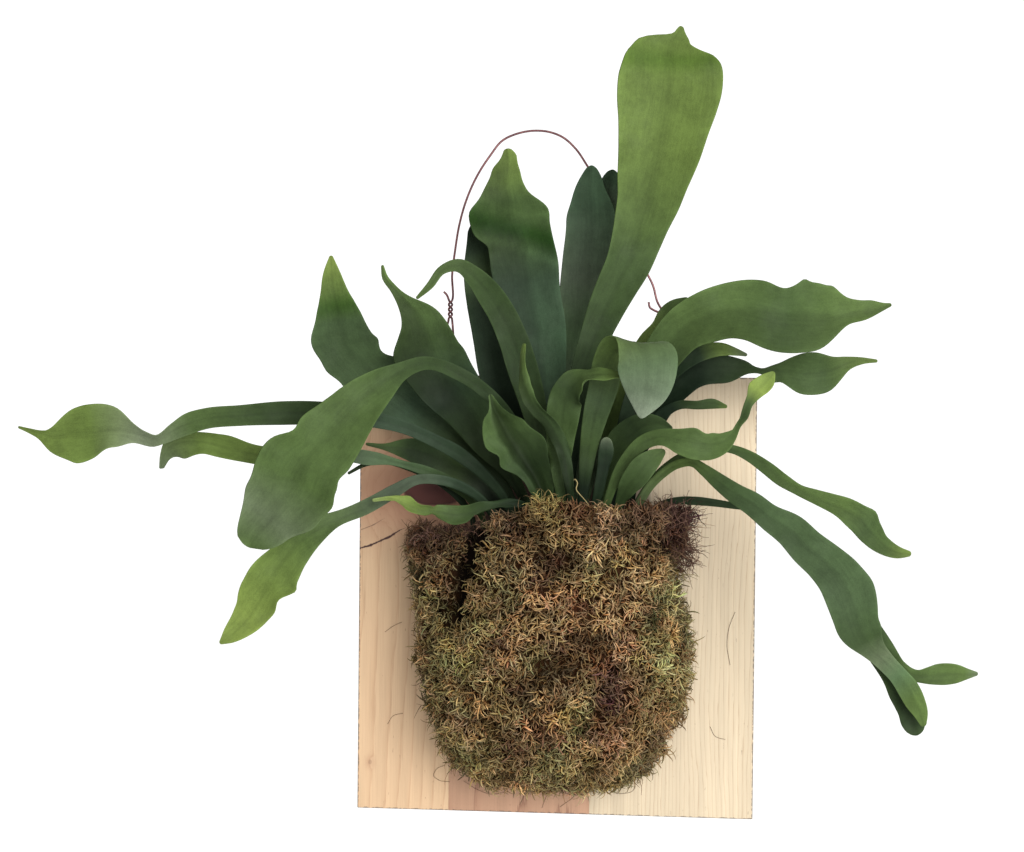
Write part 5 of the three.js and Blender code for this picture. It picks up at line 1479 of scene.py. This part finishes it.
frond(
    "drooping_right", "leaf_green", ruffle=1, cup=0.1, halves=(1.11, 0.91),
    tones=[
        (0, SAGE), (0.25, GREEN), (0.35, SHADE), (0.45, SPRUCE), (0.7, SPRUCE), (0.78, SHADE), (0.83, SAGE),
        (0.88, CELADON), (0.94, GREEN), (1, GREEN),
    ],
    lobe_tones=[
        [(0, SHADE), (0.3, BOTTLE), (0.6, FOREST), (0.9, GREEN), (1, SAGE)],
        [(0, SHADE), (0.5, SHADE), (0.65, DEEP), (0.9, DEEP), (1, SHADE)],
    ],
    bumps=[
        (LEFT, 0.46, 0.03, -1.5), (LEFT, 0.68, 0.02, 1), (LEFT, 0.74, 0.02, -1.5), (RIGHT, 0.5, 0.15, -1.2),
        (RIGHT, 0.8, 0.03, -3),
    ],
    midrib=[
        (55, 54, 39, 5), (57, 58, 60, 6), (64, 67, 78, 6), (76, 77, 92, 6), (87, 86, 99, 6), (95, 90, 100, 6),
        (103, 94, 95, 8), (112, 98, 88, 11), (123, 102, 80, 14), (135, 106, 73, 17), (146, 110, 65, 20),
        (158, 114, 57, 23), (168, 118, 47, 25), (179, 121, 38, 27), (188, 123, 29, 30), (194, 124, 19, 32),
        (198, 124, 8, 31), (202, 123, -5, 28), (208, 121, -16, 20), (218, 118, -25, 13), (227, 115, -34, 12),
        (234, 112, -43, 14), (239, 110, -52, 13), (243, 109, -60, 9), (245, 108, -68, 3),
    ],
    lobes=[
        [
            (207, 119, -3, 15), (218, 117, -17, 13), (229, 112, -29, 8), (239, 108, -35, 8),
            (249, 106, -35, 12), (258, 105, -34, 14), (267, 104, -34, 12), (273, 103, -34, 7),
            (280, 102, -34, 2),
        ],
        [
            (204, 118, -4, 12), (213, 113, -20, 12), (223, 106, -38, 9), (229, 103, -48, 12),
            (236, 101, -58, 15), (240, 100, -68, 15), (243, 100, -75, 9),
        ],
    ],
)
frond(
    "short_right", "leaf_dark", ruffle=0.3,
    tones=[(0, NIGHT), (1, DEEP)],
    midrib=[
        (64, 40, 39, 4), (66, 43, 57, 4), (72, 47, 67, 5), (84, 50, 72, 5), (98, 53, 72.5, 6),
        (115, 55, 71, 5), (130, 56, 69, 4), (141, 56, 68, 2),
    ],
)
frond(
    "broad_inner", "leaf_dark", ruffle=1, halves=(0.94, 1.23),
    tones=[(0, SHADE), (0.65, SHADE), (0.77, DEEP), (0.86, SHADE), (1, SHADE)],
    midrib=[
        (31, 48, 39, 5), (32, 50, 60, 6), (35, 54, 80, 10), (43, 60, 101, 22), (53, 66, 116, 23),
        (64, 71, 124, 17), (74, 74, 125, 9), (82, 76, 122, 2),
    ],
)
frond(
    "young_paddle", "leaf_light", ruffle=0, cup=0.05,
    tones=[(0, NIGHT), (0.5, INK), (0.75, NIGHT), (0.88, INK), (0.96, DUSK), (1, MIST)],
    midrib=[
        (27, 60, 39, 5), (29, 65, 60, 5), (33, 74, 80, 7), (36, 79, 96, 8), (38, 82, 108, 10),
        (38, 83, 116, 6),
    ],
)
frond(
    "lower_light", "leaf_light", ruffle=0.6,
    tones=[(0, DEEP), (0.5, SHADE), (0.8, BOTTLE), (1, FOREST)],
    midrib=[
        (43, 68, 39, 5), (45, 71, 60, 5), (47, 75, 71, 6), (51, 82, 80, 11), (57, 91, 89, 16),
        (64, 96, 98, 16), (71, 97, 104, 11), (77, 96, 108, 3),
    ],
)

# Stage: pale floor, white surroundings and a soft key from the right
floor_paint = Paint("floor", 0.9, 0.001)
floor_paint.shader.inputs["Base Color"].default_value = (*FLOOR_COLOUR, 1.0)
floor_mesh = bpy.data.meshes.new("floor")
floor_corners = [(-6, -4, FLOOR_Z), (6, -4, FLOOR_Z), (6, 6, FLOOR_Z), (-6, 6, FLOOR_Z)]
floor_mesh.from_pydata(floor_corners, [], [(0, 1, 2, 3)])
floor_mesh.materials.append(floor_paint.material)
floor = bpy.data.objects.new("floor", floor_mesh)
bpy.context.scene.collection.objects.link(floor)

world = bpy.data.worlds.new("studio")
world.use_nodes = True
world.node_tree.nodes["Background"].inputs["Color"].default_value = (1.0, 1.0, 1.0, 1.0)
world.node_tree.nodes["Background"].inputs["Strength"].default_value = SKY_STRENGTH
bpy.context.scene.world = world

light = bpy.data.lights.new("key", "AREA")
light.size = KEY_SIZE
light.energy = KEY_POWER
lamp = bpy.data.objects.new("key", light)
bpy.context.scene.collection.objects.link(lamp)
lamp.location = KEY_PLACE
lamp.rotation_euler = (Vector(KEY_AIM) - Vector(KEY_PLACE)).to_track_quat("-Z", "Y").to_euler()

camera_data = bpy.data.cameras.new("camera")
camera_data.sensor_width = SENSOR_WIDTH
camera_data.lens = FOCAL_PIXELS / IMAGE_WIDTH * SENSOR_WIDTH
camera_data.clip_start = 0.01
camera_data.clip_end = 50.0
camera = bpy.data.objects.new("camera", camera_data)
bpy.context.scene.collection.objects.link(camera)
turn = Matrix.Rotation(math.radians(CAMERA_YAW), 3, "Z") @ Matrix.Rotation(math.radians(CAMERA_PITCH), 3, "X")
turn = turn @ Matrix.Rotation(math.radians(CAMERA_ROLL), 3, "Y")
right, forward, up = turn.col
axes = Matrix((right, up, -forward)).transposed().to_4x4()
camera.matrix_world = Matrix.Translation(Vector(CAMERA_PLACE) * MM) @ axes
bpy.context.scene.camera = camera
bpy.context.scene.view_settings.view_transform = "Standard"
